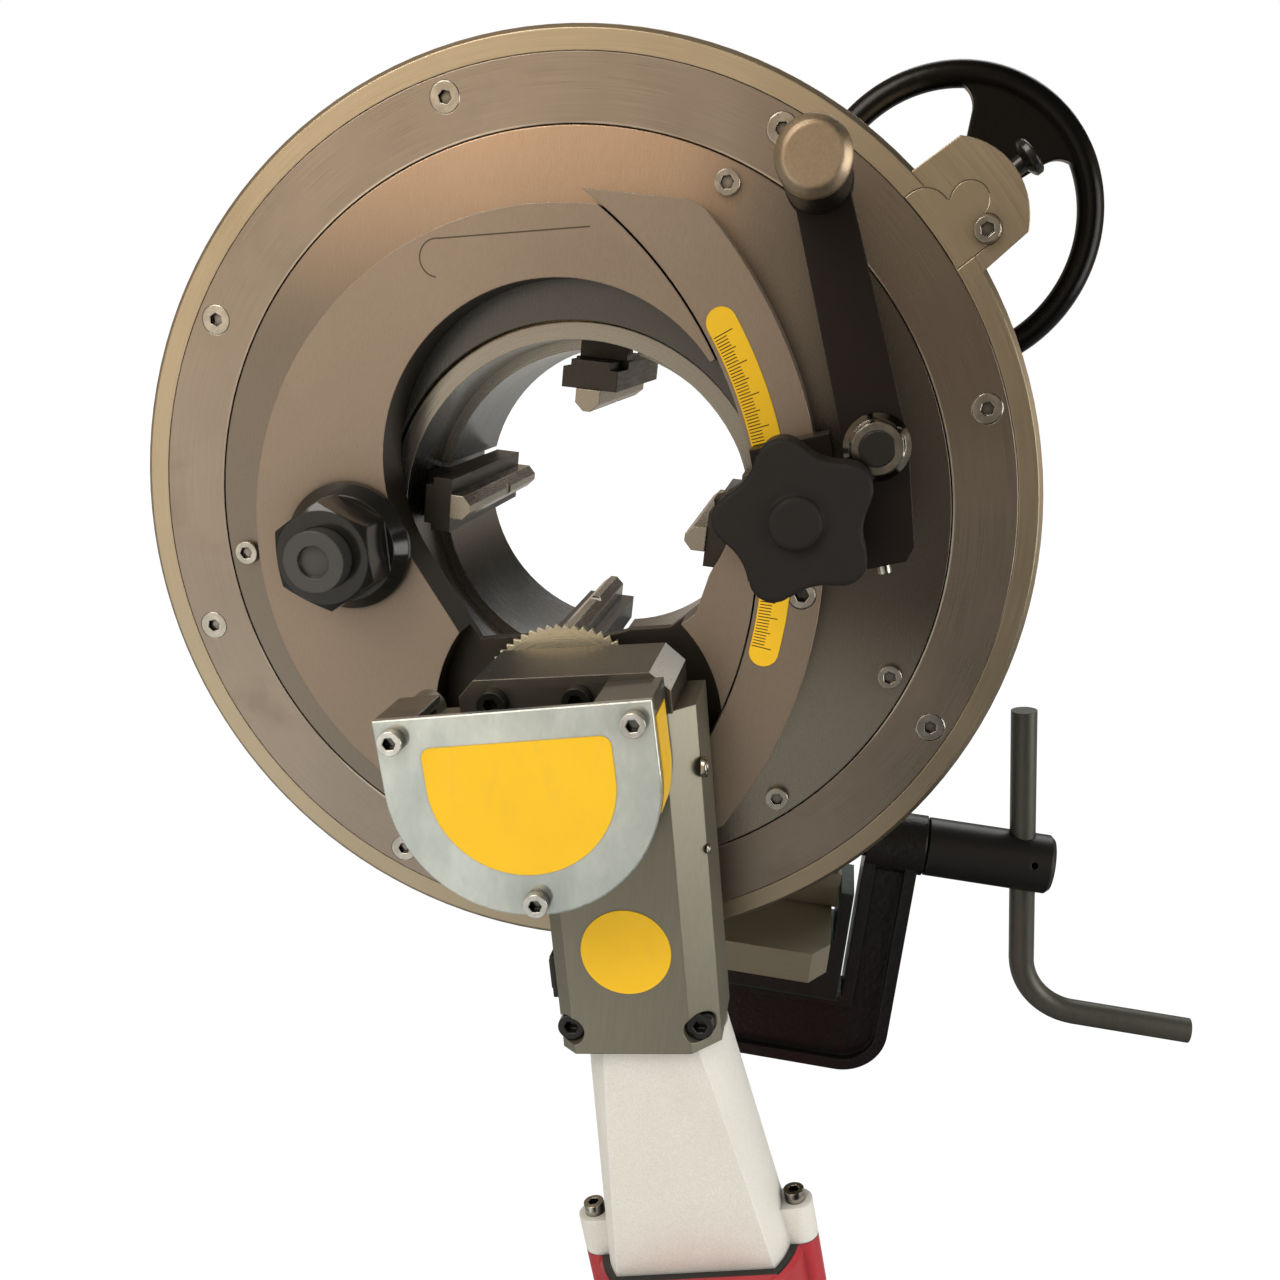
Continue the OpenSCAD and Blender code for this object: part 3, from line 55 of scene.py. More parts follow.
# Drum: a turned steel housing with its rear cover and the keyed cover over the pinion.
# A thin bronze-coloured coat lies over turning marks that run round the pipe axis, and the bore in the nose is bare
# darker steel. Painted shade makes the bore's walls darker than its front face and darkens the right-facing side of the
# rim. Screws from behind close the housing.
class Val:
    """A shader socket in a sum: Python's operators add Math nodes to the finish it belongs to."""

    SOFT = 0.3

    def __init__(self, finish, socket):
        self.finish, self.socket = finish, socket

    def math(self, operation, *rest):
        sockets = dict(enumerate((self, *rest)))
        return self.finish.add("ShaderNodeMath", {"operation": operation}, sockets)

    def __add__(self, other):
        return self.math("ADD", other)

    def __sub__(self, other):
        return self.math("SUBTRACT", other)

    def __mul__(self, other):
        return self.math("MULTIPLY", other)

    def __truediv__(self, other):
        return self.math("DIVIDE", other)

    def __abs__(self):
        return self.math("ABSOLUTE")

    def __rsub__(self, other):
        return self * -1 + other

    __radd__, __rmul__ = __add__, __mul__

    def ramp(self, low, high):
        """0 at low, 1 at high, and smooth between."""
        return self.finish.add(
            "ShaderNodeMapRange",
            {"interpolation_type": "SMOOTHSTEP"},
            {"Value": self, "From Min": low, "From Max": high},
        )

    def line(self, half_width):
        """1 within half_width of zero, with a soft edge."""
        return 1 - abs(self).ramp(half_width * (1 - self.SOFT), half_width * (1 + self.SOFT))


class Finish:
    """A procedural material on Object coordinates. add() makes a node from its type, settings and sockets."""

    RAYS = 4
    BENT = (0.02, 0.3)
    SHUT_IN = (0.25, 0.95)

    def __init__(self, name, look):
        self.material = bpy.data.materials.new(name)
        self.material.use_nodes = True
        self.tree = self.material.node_tree
        self.shader = self.tree.nodes["Principled BSDF"]
        for socket, value in look.items():
            self.shader.inputs[socket].default_value = value
        self.place = self.add("ShaderNodeTexCoord", {}, {}, "Object")
        split = self.add("ShaderNodeSeparateXYZ", {}, {"Vector": self.place}).socket.node
        self.x, self.y, self.z = (Val(self, split.outputs[axis]) for axis in "XYZ")

    def add(self, kind, settings, sockets, out=0):
        node = self.tree.nodes.new(kind)
        for name, value in settings.items():
            setattr(node, name, value)
        for name, value in sockets.items():
            if isinstance(value, Val):
                self.tree.links.new(value.socket, node.inputs[name])
            else:
                node.inputs[name].default_value = value
        return Val(self, node.outputs[out])

    def noise(self, scale, stretch=(1, 1, 1), detail=2.0, where=None):
        sockets = {0: where or self.place, 1: stretch}
        spread = self.add("ShaderNodeVectorMath", {"operation": "MULTIPLY"}, sockets)
        return self.add("ShaderNodeTexNoise", {}, {"Vector": spread, "Scale": scale, "Detail": detail})

    def mix(self, share, first, second):
        return self.add("ShaderNodeMix", {"data_type": "RGBA"}, {0: share, 6: first, 7: second}, 2)

    def layer(self, base, where, strength, colour):
        """Lays a colour over base: where is 1 at full strength and 0 outside."""
        return self.mix(where * strength, base, colour)

    def round_place(self, x=0.0, z=0.0):
        """Radius, depth and angle about an axis along Y as one place for noise, then radius and angle alone."""
        dx, dz = self.x - x, self.z - z
        radius = (dx * dx + dz * dz).math("SQRT")
        angle = dz.math("ARCTAN2", dx)
        return self.add("ShaderNodeCombineXYZ", {}, {"X": radius, "Y": self.y, "Z": angle}), radius, angle

    def facing(self, direction):
        """1 where the surface looks along direction, 0 where it lies across it."""
        sockets = {0: self.add("ShaderNodeNewGeometry", {}, {}, "Normal"), 1: direction}
        return self.add("ShaderNodeVectorMath", {"operation": "DOT_PRODUCT"}, sockets, "Value")

    def rounded(self, edge):
        return self.add("ShaderNodeBevel", {"samples": self.RAYS}, {"Radius": edge})

    def worn_edges(self, edge):
        """1 on edges, within the given width."""
        same = self.facing(self.rounded(edge))
        return (1 - same).ramp(*self.BENT)

    def corners(self, reach):
        """1 deep in corners and sockets, where painted shade goes."""
        # Painted shade: the ambient occlusion mask for darkening corners and sockets.
        open_air = self.add("ShaderNodeAmbientOcclusion", {"samples": self.RAYS}, {"Distance": reach}, "AO")
        return 1 - open_air.ramp(*self.SHUT_IN)

    def relief(self, height, depth, edge):
        sockets = {"Height": height, "Distance": depth, "Normal": self.rounded(edge)}
        return self.add("ShaderNodeBump", {}, sockets)

    def feed(self, colour=None, rough=None, normal=None, metallic=None, glow=None):
        wires = {
            "Base Color": colour, "Roughness": rough, "Normal": normal,
            "Metallic": metallic, "Emission Color": glow,
        }
        for socket, value in wires.items():
            if value is not None:
                self.tree.links.new(value.socket, self.shader.inputs[socket])

    def on(self, *pieces):
        """Puts the finish on CAD nodes by name and on added pieces."""
        for piece in pieces:
            mesh = nodes[piece].data if isinstance(piece, str) else piece.data
            mesh.materials.clear()
            mesh.materials.append(self.material)


def rgba(red, green, blue):
    return (red, green, blue, 1.0)


def tint(colour, gain, lift=0.0):
    return rgba(*[min(1.0, part * gain + lift) for part in colour])


NOISE_MEAN = 0.5


def machined(
    name, colour, metallic, rough, stretch, about=None,
    edge=0.0005, cloud=0.12, wear=0.35, corner_shade=0.5, cut=0.26, depth=0.000012,
):
    """Machined metal: fine marks along the small axis of stretch, cloudy tone, worn edges, painted shade in corners.

    The marks run straight, or round the axis at about. edge is the width of a worn edge, depth that of a mark, and
    cloud, wear, corner_shade and cut say how strongly each shows; corner_shade is the strength of the painted shade in
    corners.
    """
    dark, pale, dirt_and_shade = tint(colour, 0.72), tint(colour, 1.28), tint(colour, 0.16)
    rubbed = tint(colour, 1.9, 0.05)
    cloud_scale, wear_scale, shade_reach = 18, 90, 0.004
    tones, wear_patches = (0.15, 0.85), (0.35, 0.7)
    rough_marks, rough_clouds = 0.22, 0.15
    finish = Finish(name, {"Metallic": metallic})
    marks = finish.noise(1.0, stretch, 3, finish.round_place(*about)[0] if about else None)
    clouds = finish.noise(cloud_scale, detail=4)
    finish.tone = (marks - NOISE_MEAN) * cut + (clouds - NOISE_MEAN) * cloud * 2
    base = finish.mix((finish.tone + NOISE_MEAN).ramp(*tones), dark, pale)
    worn = finish.worn_edges(edge) * finish.noise(wear_scale, detail=3).ramp(*wear_patches)
    base = finish.layer(base, worn, wear, rubbed)
    # Painted shade: the colour darkens deep in corners.
    finish.colour = finish.layer(base, finish.corners(shade_reach), corner_shade, dirt_and_shade)
    finish.rough = (marks - NOISE_MEAN) * rough_marks + (clouds - NOISE_MEAN) * rough_clouds + rough
    finish.feed(finish.colour, finish.rough, finish.relief(marks, depth, edge))
    return finish


FRONT, RIGHT, UP = (0, -1, 0), (1, 0, 0), (0, 0, 1)
FLAT_ON = (0.6, 0.8)
PIPE_AXIS = (0, 0)
RINGS = (2600, 2600, 5)
DRUM_BRONZE, SHADED_BORE_GREY, NOSE_GREY = (0.50, 0.42, 0.295), rgba(0.19, 0.195, 0.19), rgba(0.46, 0.44, 0.385)
BORE_WALL, BORE_POLISH = (0.0645, 0.0665), 0.08
BORE_MARKS, BORE_MARK = (0.2, 0.9), (0.3, rgba(0.12, 0.12, 0.115))
RIM_SIDE, RIM_SHADE = (0.35, 0.8), (0.6, rgba(0.13, 0.105, 0.072))
drum_coat = machined(
    "bronzed_drum", DRUM_BRONZE, metallic=0.93, rough=0.33, stretch=RINGS, about=PIPE_AXIS, wear=0.6, corner_shade=0.9
)
in_nose = 1 - drum_coat.round_place()[1].ramp(*BORE_WALL)
# Painted shade: the bore's walls are darker than its front face.
bare_steel_shaded = drum_coat.mix(drum_coat.facing(FRONT).ramp(*FLAT_ON), SHADED_BORE_GREY, NOSE_GREY)
bare_steel_shaded = drum_coat.layer(bare_steel_shaded, (drum_coat.tone + NOISE_MEAN).ramp(*BORE_MARKS), *BORE_MARK)
# Painted shade: the rim's right-facing side is darker.
shaded_rim = drum_coat.facing(RIGHT).ramp(*RIM_SIDE) * (1 - in_nose)
drum_base = drum_coat.layer(drum_coat.colour, shaded_rim, *RIM_SHADE)
drum_coat.feed(drum_coat.mix(in_nose, drum_base, bare_steel_shaded), drum_coat.rough - in_nose * BORE_POLISH)
drum_coat.on("drum_housing", "rear_cover", "pinion_cover")


# Retaining ring: a flat turned ring of darker steel, let in flush with the drum's rim.
# Eight countersunk screws hold it over the rotor's flange; handling has left smudges, painted shade darkens its upper
# right, and its inner edge is rubbed bright in places.
RING_STEEL = (0.35, 0.295, 0.24)
SMUDGE_SCALE, SMUDGE_PATCHES, SMUDGE_ROUGH = 34, (0.52, 0.72), 0.1
SMUDGE = (0.35, rgba(0.24, 0.19, 0.15))
SHADE_TO_RIGHT, SHADE_TO_TOP, RING_SHADE = (0.020, 0.090), (0.0, 0.070), (0.4, rgba(0.15, 0.115, 0.080))
RING_EDGE, RUB_SCALE, RUB_PATCHES, RUBBED = (0.1226, 0.1230), 14, (0.35, 0.6), (0.8, rgba(0.85, 0.78, 0.66))
ring_steel = machined(
    "ring_steel", RING_STEEL, metallic=0.93, rough=0.31, stretch=RINGS, about=PIPE_AXIS,
    cloud=0.22, wear=0.8, corner_shade=0.9,
)
smudge = ring_steel.noise(SMUDGE_SCALE, detail=5).ramp(*SMUDGE_PATCHES)
ring_base = ring_steel.layer(ring_steel.colour, smudge, *SMUDGE)
# Painted shade: darker towards the upper right.
shaded_upper_right = ring_steel.x.ramp(*SHADE_TO_RIGHT) * ring_steel.z.ramp(*SHADE_TO_TOP)
ring_base = ring_steel.layer(ring_base, shaded_upper_right, *RING_SHADE)
inner_edge = 1 - ring_steel.round_place()[1].ramp(*RING_EDGE)
ring_base = ring_steel.layer(ring_base, inner_edge * ring_steel.noise(RUB_SCALE).ramp(*RUB_PATCHES), *RUBBED)
ring_steel.feed(ring_base, ring_steel.rough + smudge * SMUDGE_ROUGH)
ring_steel.on("retaining_ring")


# Bright screws: zinc-plated steel with a turned face, and sockets made dark with painted shade.
# They hold the ring, the pinion's cover, the rotor, the scale plate, the guard, the motor and
# the head's plate.
def plated(name, colour, rough):
    """Plated metal: a slight haze in colour and gloss, and black painted shade deep in the socket."""
    dull, bright, dirt_and_shade = tint(colour, 0.8), tint(colour, 1.1), tint(colour, 0.05)
    haze_scale, haze_tones, haze_rough, haze_depth = 260, (0.35, 0.7), 0.14, 0.00002
    socket_depth, edge = 0.006, 0.0005
    finish = Finish(name, {"Metallic": 1.0})
    haze = finish.noise(haze_scale, detail=3)
    base = finish.mix(haze.ramp(*haze_tones), dull, bright)
    # Painted shade: black deep in the socket.
    base = finish.mix(finish.corners(socket_depth), base, dirt_and_shade)
    finish.feed(base, haze * haze_rough + rough, finish.relief(haze, haze_depth, edge))
    return finish


OLD_ZINC, NEW_ZINC = (0.56, 0.535, 0.475), (0.86, 0.85, 0.80)
plated("bright_zinc", OLD_ZINC, rough=0.10).on(
    "retaining_screws", "pinion_cover_screw", "rotor_screws", "scale_screws", "motor_screws", "head_plate_screws"
)
plated("new_zinc", NEW_ZINC, rough=0.10).on("guard_screws")


# Black oxide steel: studs, nuts, cap screws, the brake plunger and the clamp's spindle.
# The coat is thin and slightly oily, and wears to grey along the edges.
def blackened(name, colour, rough, wear, shine=0.5):
    """Black oxide or thin black paint: fine specks, edges worn to bare steel, painted shade in corners."""
    worn_steel, dirt_and_shade = rgba(0.16, 0.145, 0.12), tint(colour, 0.25)
    speck_scale, speck_rough, speck_depth = 700, 0.12, 0.00001
    wear_scale, wear_patches, worn_width = 140, (0.4, 0.7), 0.0006
    shade_reach, edge = 0.003, 0.0007
    finish = Finish(name, {"Metallic": 0.0, "Specular IOR Level": shine})
    specks = finish.noise(speck_scale, detail=4)
    worn = finish.worn_edges(worn_width) * finish.noise(wear_scale, detail=3).ramp(*wear_patches)
    base = finish.layer(rgba(*colour), worn, wear, worn_steel)
    # Painted shade: darker deep in corners.
    base = finish.mix(finish.corners(shade_reach), base, dirt_and_shade)
    finish.feed(base, specks * speck_rough + rough, finish.relief(specks, speck_depth, edge))
    return finish


OXIDE, STUD_GREY, SPINDLE_BLACK = (0.012, 0.0115, 0.010), (0.050, 0.047, 0.042), (0.010, 0.0095, 0.009)
blackened("black_oxide", OXIDE, rough=0.08, wear=0.9).on(
    "rear_cover_screws", "bracket_screws", "foot_screws", "handwheel_nut", "brake_plunger", "pressure_pad",
    "pivot_nut", "lever_stud", "gear_housing_screws",
)
blackened("stud_grey", STUD_GREY, rough=0.24, wear=0.6).on("pivot_stud")
blackened("spindle_black", SPINDLE_BLACK, rough=0.30, wear=0.3).on("clamp_spindle")


# Chuck: hardened dark jaws with ground bars, a cut gear ring and its pinion, bronze bushes.
# The jaws slide in the drum's channels; the bars are fixed to them and touch the pipe. The
# tool's other hidden shafts and bushes have the same finishes.
JAW_STEEL, JAW_GROUND = (0.055, 0.047, 0.037), (0.42, 0.38, 0.31)
GEAR_STEEL, BUSH_BRONZE = (0.36, 0.35, 0.33), (0.50, 0.33, 0.12)
MILLED_ALONG, GROUND_ALONG = (900, 60, 900), (6000, 120, 6000)
machined("jaw_steel", JAW_STEEL, metallic=0.6, rough=0.36, stretch=MILLED_ALONG, wear=0.6).on(
    "jaw_slide_right", "jaw_slide_top", "jaw_slide_left", "jaw_slide_bottom"
)
machined(
    "jaw_ground", JAW_GROUND, metallic=0.85, rough=0.26, stretch=GROUND_ALONG, wear=0.5, cut=0.08, depth=0.000002
).on("jaw_bar_right", "jaw_bar_top", "jaw_bar_left", "jaw_bar_bottom")
machined("gear_steel", GEAR_STEEL, metallic=0.95, rough=0.30, stretch=RINGS, about=PIPE_AXIS).on(
    "cam_ring", "pinion_shaft", "grip_spindle", "blade_arbor", "worm_shaft"
)
machined("bush_bronze", BUSH_BRONZE, metallic=0.95, rough=0.32, stretch=RINGS, about=PIPE_AXIS).on(
    "pinion_bushes", "rotor_bush", "pivot_bush", "arbor_bushes"
)


# Handwheel: one glossy black moulding with two windows in its web and a slight orange-peel
# surface. A nut holds it on the end of the pinion shaft.
def moulded(name, colour, rough, grain, depth, shine=0.5, edge=0.0008):
    """Moulded plastic or thick paint: a grain of the given scale and depth, soft edges, painted shade in corners."""
    dark, pale = tint(colour, 0.85), tint(colour, 1.15)
    rubbed, dirt_and_shade = (0.25, tint(colour, 1.6, 0.02)), (0.8, tint(colour, 0.2))
    cloud_scale, cloud_tones, cloud_rough = 25, (0.3, 0.75), 0.15
    wear_scale, wear_patches, shade_reach = 120, (0.4, 0.75), 0.004
    finish = Finish(name, {"Specular IOR Level": shine})
    peel = finish.noise(grain, detail=3)
    clouds = finish.noise(cloud_scale, detail=3)
    base = finish.mix(clouds.ramp(*cloud_tones), dark, pale)
    worn = finish.worn_edges(edge) * finish.noise(wear_scale, detail=3).ramp(*wear_patches)
    base = finish.layer(base, worn, *rubbed)
    # Painted shade: darker deep in corners.
    finish.colour = finish.layer(base, finish.corners(shade_reach), *dirt_and_shade)
    finish.rough = clouds * cloud_rough + rough
    finish.feed(finish.colour, finish.rough, finish.relief(peel, depth, edge))
    return finish


WHEEL_BLACK = (0.003, 0.0026, 0.002)
moulded("handwheel_black", WHEEL_BLACK, rough=0.14, grain=220, depth=0.00008, shine=0.25, edge=0.0016).on("handwheel")


# Rotor: a thick steel disc, ground straight up and down, that turns in the drum.
# A painted warm sheen lies on its upper part, fading to the right; a painted shadow of the lever darkens it beside the
# lever, a painted reflection lightens its lower right, and painted shade makes it dark grey round the bore.
ROTOR_STEEL, ROTOR_GRAIN = (0.23, 0.20, 0.165), (5200, 5200, 160)
SHEEN_TO_TOP, SHEEN_TO_RIGHT, SHEEN_TO_RIM = (0.045, 0.125), (0.017, 0.057), (0.084, 0.094)
SHEEN_COLOUR, SHEEN_BODY, SHEEN_LOSS = rgba(0.62, 0.45, 0.32), 0.95, 0.95
ROUND_BORE, BORE_SIDE_SHADE = (0.082, 0.090), (0.9, rgba(0.125, 0.130, 0.130))
LEVER_TO_RIGHT, LEVER_TO_TOP, LEVER_SHADOW = (0.055, 0.090), (-0.045, 0.0), (0.65, rgba(0.09, 0.076, 0.062))
REFLECTION_TO_RIGHT, REFLECTION_TO_TOP, LOWER_RIGHT_REFLECTION = (0.0, 0.050), (-0.062, -0.008), (0.8, rgba(0.40, 0.375, 0.31))
rotor_steel = machined(
    "rotor_steel", ROTOR_STEEL, metallic=0.95, rough=0.29, stretch=ROTOR_GRAIN, cloud=0.10, cut=0.16, depth=0.000004
)
rotor_radius = rotor_steel.round_place()[1]
# Painted sheen: a warm tone on the upper part of the face, away from the bore.
left_part = 1 - rotor_steel.x.ramp(*SHEEN_TO_RIGHT) * SHEEN_LOSS
sheen = rotor_steel.z.ramp(*SHEEN_TO_TOP) * left_part * rotor_radius.ramp(*SHEEN_TO_RIM)
rotor_base = rotor_steel.layer(rotor_steel.colour, sheen, rotor_steel.tone + SHEEN_BODY, SHEEN_COLOUR)
# Painted shade: dark grey round the bore.
rotor_base = rotor_steel.layer(rotor_base, 1 - rotor_radius.ramp(*ROUND_BORE), *BORE_SIDE_SHADE)
# Painted shadow of the lever on the rotor's face.
beside_lever = rotor_steel.x.ramp(*LEVER_TO_RIGHT) * rotor_steel.z.ramp(*LEVER_TO_TOP)
rotor_base = rotor_steel.layer(rotor_base, beside_lever, *LEVER_SHADOW)
# Painted reflection: lighter towards the lower right.
reflected_lower_right = rotor_steel.x.ramp(*REFLECTION_TO_RIGHT) * (1 - rotor_steel.z.ramp(*REFLECTION_TO_TOP))
rotor_base = rotor_steel.layer(rotor_base, reflected_lower_right, *LOWER_RIGHT_REFLECTION)
rotor_steel.feed(rotor_base, rotor_steel.rough)
rotor_steel.on("rotor_disc")


# Swing plate and scale plate: satin plates that lie on the rotor's face.
# Their edges are broken and lighter, and a fine seam with a hooked end is engraved in the swing plate's upper face. On
# the swing plate, painted shade darkens the walls near the bore, the pocket floor and the corners.
SCALE_STEEL, SWING_STEEL, SATIN = (0.325, 0.26, 0.20), (0.32, 0.255, 0.195), (2600, 2600, 500)
machined("plate_steel", SCALE_STEEL, metallic=0.75, rough=0.42, stretch=SATIN, cloud=0.10).on("scale_plate")
swing_steel = machined("swing_steel", SWING_STEEL, metallic=0.75, rough=0.42, stretch=SATIN, cloud=0.10)

SEAM_HALF, SEAM_SOFT, HOOK_R = 0.00022, 0.0002, 0.0056
FACE_Y, ENGRAVED = (-0.0184, -0.0180), (0.85, rgba(0.05, 0.04, 0.03))
seam_start, seam_end = Vector((0.000, 0.0920)), Vector((-0.0460, 0.0842))
seam_length = (seam_end - seam_start).length
seam_along = (seam_end - seam_start).normalized()
from_x, from_z = swing_steel.x - seam_start.x, swing_steel.z - seam_start.y
along = from_x * seam_along.x + from_z * seam_along.y
aside = from_z * seam_along.x - from_x * seam_along.y
within = along.ramp(-SEAM_SOFT, 0.0) * (1 - along.ramp(seam_length, seam_length + SEAM_SOFT))
hook_x, hook_z = seam_end.x, seam_end.y - HOOK_R
hook_radius = swing_steel.round_place(hook_x, hook_z)[1]
hook = (hook_radius - HOOK_R).line(SEAM_HALF) * (1 - swing_steel.x.ramp(hook_x - SEAM_SOFT, hook_x))
seam = (aside.line(SEAM_HALF) * within + hook) * (1 - swing_steel.y.ramp(*FACE_Y))

BACK, ACROSS, NEAR_BORE = (0, 1, 0), (0.5, 0.8), (0.092, 0.100)
WALL_SHADE, SWING_CORNER_SHADE = (0.85, rgba(0.030, 0.027, 0.022)), (0.85, rgba(0.020, 0.018, 0.015))
CORNER_REACH, FLOOR_Y, POCKET_FLOOR_SHADE = 0.016, (-0.0172, -0.0165), (0.85, rgba(0.022, 0.020, 0.017))
edge_walls = 1 - abs(swing_steel.facing(BACK)).ramp(*ACROSS)
near_bore = 1 - swing_steel.round_place()[1].ramp(*NEAR_BORE)
pocket_floor = swing_steel.y.ramp(*FLOOR_Y) * swing_steel.facing(FRONT).ramp(*FLAT_ON)
swing_base = swing_steel.layer(swing_steel.colour, seam, *ENGRAVED)
# Painted shade: dark walls near the bore, dark corners and a dark pocket floor.
swing_base = swing_steel.layer(swing_base, edge_walls * near_bore, *WALL_SHADE)
swing_base = swing_steel.layer(swing_base, swing_steel.corners(CORNER_REACH), *SWING_CORNER_SHADE)
swing_base = swing_steel.layer(swing_base, pocket_floor, *POCKET_FLOOR_SHADE)
swing_steel.feed(swing_base, swing_steel.rough)
swing_steel.on("swing_plate")


# Scale strip: a yellow printed foil with millimetre marks, glued on the scale plate.
# It follows an arc about the swing pivot and has round ends: half a disc is spun along the
# arc, then its far edge is spun round the end, and the whole is given its thickness.
def pick(kind, test):
    """In edit mode, selects the piece's vertices, edges or faces whose middle passes the test."""
    mesh = bpy.context.object.data
    bpy.ops.mesh.select_mode(type=kind)
    bpy.ops.mesh.select_all(action="DESELECT")
    bpy.ops.object.mode_set(mode="OBJECT")
    for part in {"VERT": mesh.vertices, "EDGE": mesh.edges, "FACE": mesh.polygons}[kind]:
        if kind == "VERT":
            middle = part.co
        elif kind == "FACE":
            middle = part.center
        else:
            middle = (mesh.vertices[part.vertices[0]].co + mesh.vertices[part.vertices[1]].co) / 2
        part.select = test(middle)
    bpy.ops.object.mode_set(mode="EDIT")


def named(name):
    """Names the piece just added and puts its place into its mesh."""
    piece = bpy.context.object
    piece.name = piece.data.name = name
    bpy.ops.object.transform_apply(location=True, rotation=True, scale=True)
    return piece


def push_out(push):
    """In edit mode, extrudes what is selected, turns all faces outwards and leaves edit mode."""
    bpy.ops.mesh.extrude_region_move(TRANSFORM_OT_translate={"value": push})
    bpy.ops.mesh.select_all(action="SELECT")
    bpy.ops.mesh.normals_make_consistent(inside=False)
    bpy.ops.object.mode_set(mode="OBJECT")


def thicken_foil():
    """In edit mode, gives a flat piece a foil's thickness towards the front."""
    bpy.ops.mesh.select_all(action="SELECT")
    push_out((0, -FOIL, 0))


def outward(angle):
    """Away from the swing pivot, at an angle above the X axis."""
    return Vector((math.cos(angle), 0, math.sin(angle)))


def onward(angle):
    """Along the strip's arc, at an angle above the X axis."""
    return Vector((-math.sin(angle), 0, math.cos(angle)))


QUARTER_TURN, TOUCH, FOIL = math.radians(90), 0.00001, 0.00025
PIVOT_X, PIVOT_Z, SCALE_FACE = -0.070, -0.013, -0.0180
STRIP_R, STRIP_HALF = 0.139, 0.0047
LOW_ANGLE, HIGH_ANGLE = math.radians(-6.9), math.radians(36.1)
pivot = Vector((PIVOT_X, SCALE_FACE, PIVOT_Z))
low_end, high_end = pivot + outward(LOW_ANGLE) * STRIP_R, pivot + outward(HIGH_ANGLE) * STRIP_R
bpy.ops.object.select_all(action="DESELECT")
bpy.ops.mesh.primitive_circle_add(
    vertices=32, radius=STRIP_HALF, fill_type="TRIFAN", location=low_end, rotation=(QUARTER_TURN, -LOW_ANGLE, 0)
)
strip = named("scale_strip")
bpy.ops.object.mode_set(mode="EDIT")
pick("VERT", lambda p: (p - low_end).dot(onward(LOW_ANGLE)) > TOUCH)
bpy.ops.mesh.delete(type="VERT")
pick("EDGE", lambda p: abs((p - low_end).dot(onward(LOW_ANGLE))) < TOUCH)
bpy.ops.mesh.spin(steps=72, angle=HIGH_ANGLE - LOW_ANGLE, center=pivot, axis=BACK)
pick(
    "EDGE",
    lambda p: abs((p - high_end).dot(onward(HIGH_ANGLE))) < TOUCH
    and 0 < (p - high_end).dot(outward(HIGH_ANGLE)) < STRIP_HALF,
)
bpy.ops.mesh.spin(steps=16, angle=math.pi, center=high_end, axis=BACK)
bpy.ops.mesh.select_all(action="SELECT")
bpy.ops.mesh.remove_doubles(threshold=TOUCH)
thicken_foil()
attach(strip, "rotor")


def foil(name, colour):
    """Printed vinyl foil: a clean gloss with faint scuffs and a slightly dirty edge."""
    dark, pale = tint(colour, 0.98), tint(colour, 1.02)
    scuffed, dirt_and_shade = (0.12, tint(colour, 0.7, 0.08)), (0.6, tint(colour, 0.45))
    scuff_scale, scuff_stretch, scuff_patches, scuff_rough = 240, (1, 1, 0.35), (0.55, 0.75), 0.2
    cloud_scale, cloud_tones, cloud_rough, least_rough = 40, (0.3, 0.7), 0.1, 0.26
    dirty_width, wave_depth, edge = 0.0005, 0.00005, 0.0002
    finish = Finish(name, {"Specular IOR Level": 0.2})
    scuff = finish.noise(scuff_scale, scuff_stretch, 4).ramp(*scuff_patches)
    clouds = finish.noise(cloud_scale, detail=3)
    base = finish.mix(clouds.ramp(*cloud_tones), dark, pale)
    base = finish.layer(base, scuff, *scuffed)
    finish.colour = finish.layer(base, finish.worn_edges(dirty_width), *dirt_and_shade)
    finish.rough = scuff * scuff_rough + clouds * cloud_rough + least_rough
    finish.feed(finish.colour, finish.rough, finish.relief(clouds, wave_depth, edge))
    return finish


LABEL_YELLOW, SCALE_INK = (0.93, 0.55, 0.022), rgba(0.030, 0.020, 0.008)
MM, FIRST_MARK, MARK_HALF, MARK_SOFT = 0.001, 3.0, 0.16, 0.0001
SHORT_MARK, MIDDLE_MARK, LONG_MARK = 0.0044, 0.0054, 0.0068
INNER_MARGIN, SCALE_START, SCALE_STOP = (0.0004, 0.0006), (-0.4, -0.2), (100.2, 100.4)
strip_foil = foil("scale_yellow", LABEL_YELLOW)
strip_radius, strip_angle = strip_foil.round_place(PIVOT_X, PIVOT_Z)[1:]
millimetre = (strip_angle - HIGH_ANGLE) * -STRIP_R / MM - FIRST_MARK
from_edge = strip_radius - (STRIP_R - STRIP_HALF)


def marks_each(step, reach):
    """Marks every step millimetres, from the inner edge to reach."""
    off = ((millimetre / step + 0.5).math("FRACT") - 0.5) * step
    return off.line(MARK_HALF) * (1 - from_edge.ramp(reach - MARK_SOFT, reach))


marks = marks_each(1, SHORT_MARK).math("MAXIMUM", marks_each(5, MIDDLE_MARK))
marks = marks.math("MAXIMUM", marks_each(10, LONG_MARK))
on_scale = millimetre.ramp(*SCALE_START) * (1 - millimetre.ramp(*SCALE_STOP))
marks = marks * from_edge.ramp(*INNER_MARGIN) * on_scale
strip_foil.feed(strip_foil.mix(marks, strip_foil.colour, SCALE_INK), strip_foil.rough)
strip_foil.on(strip)


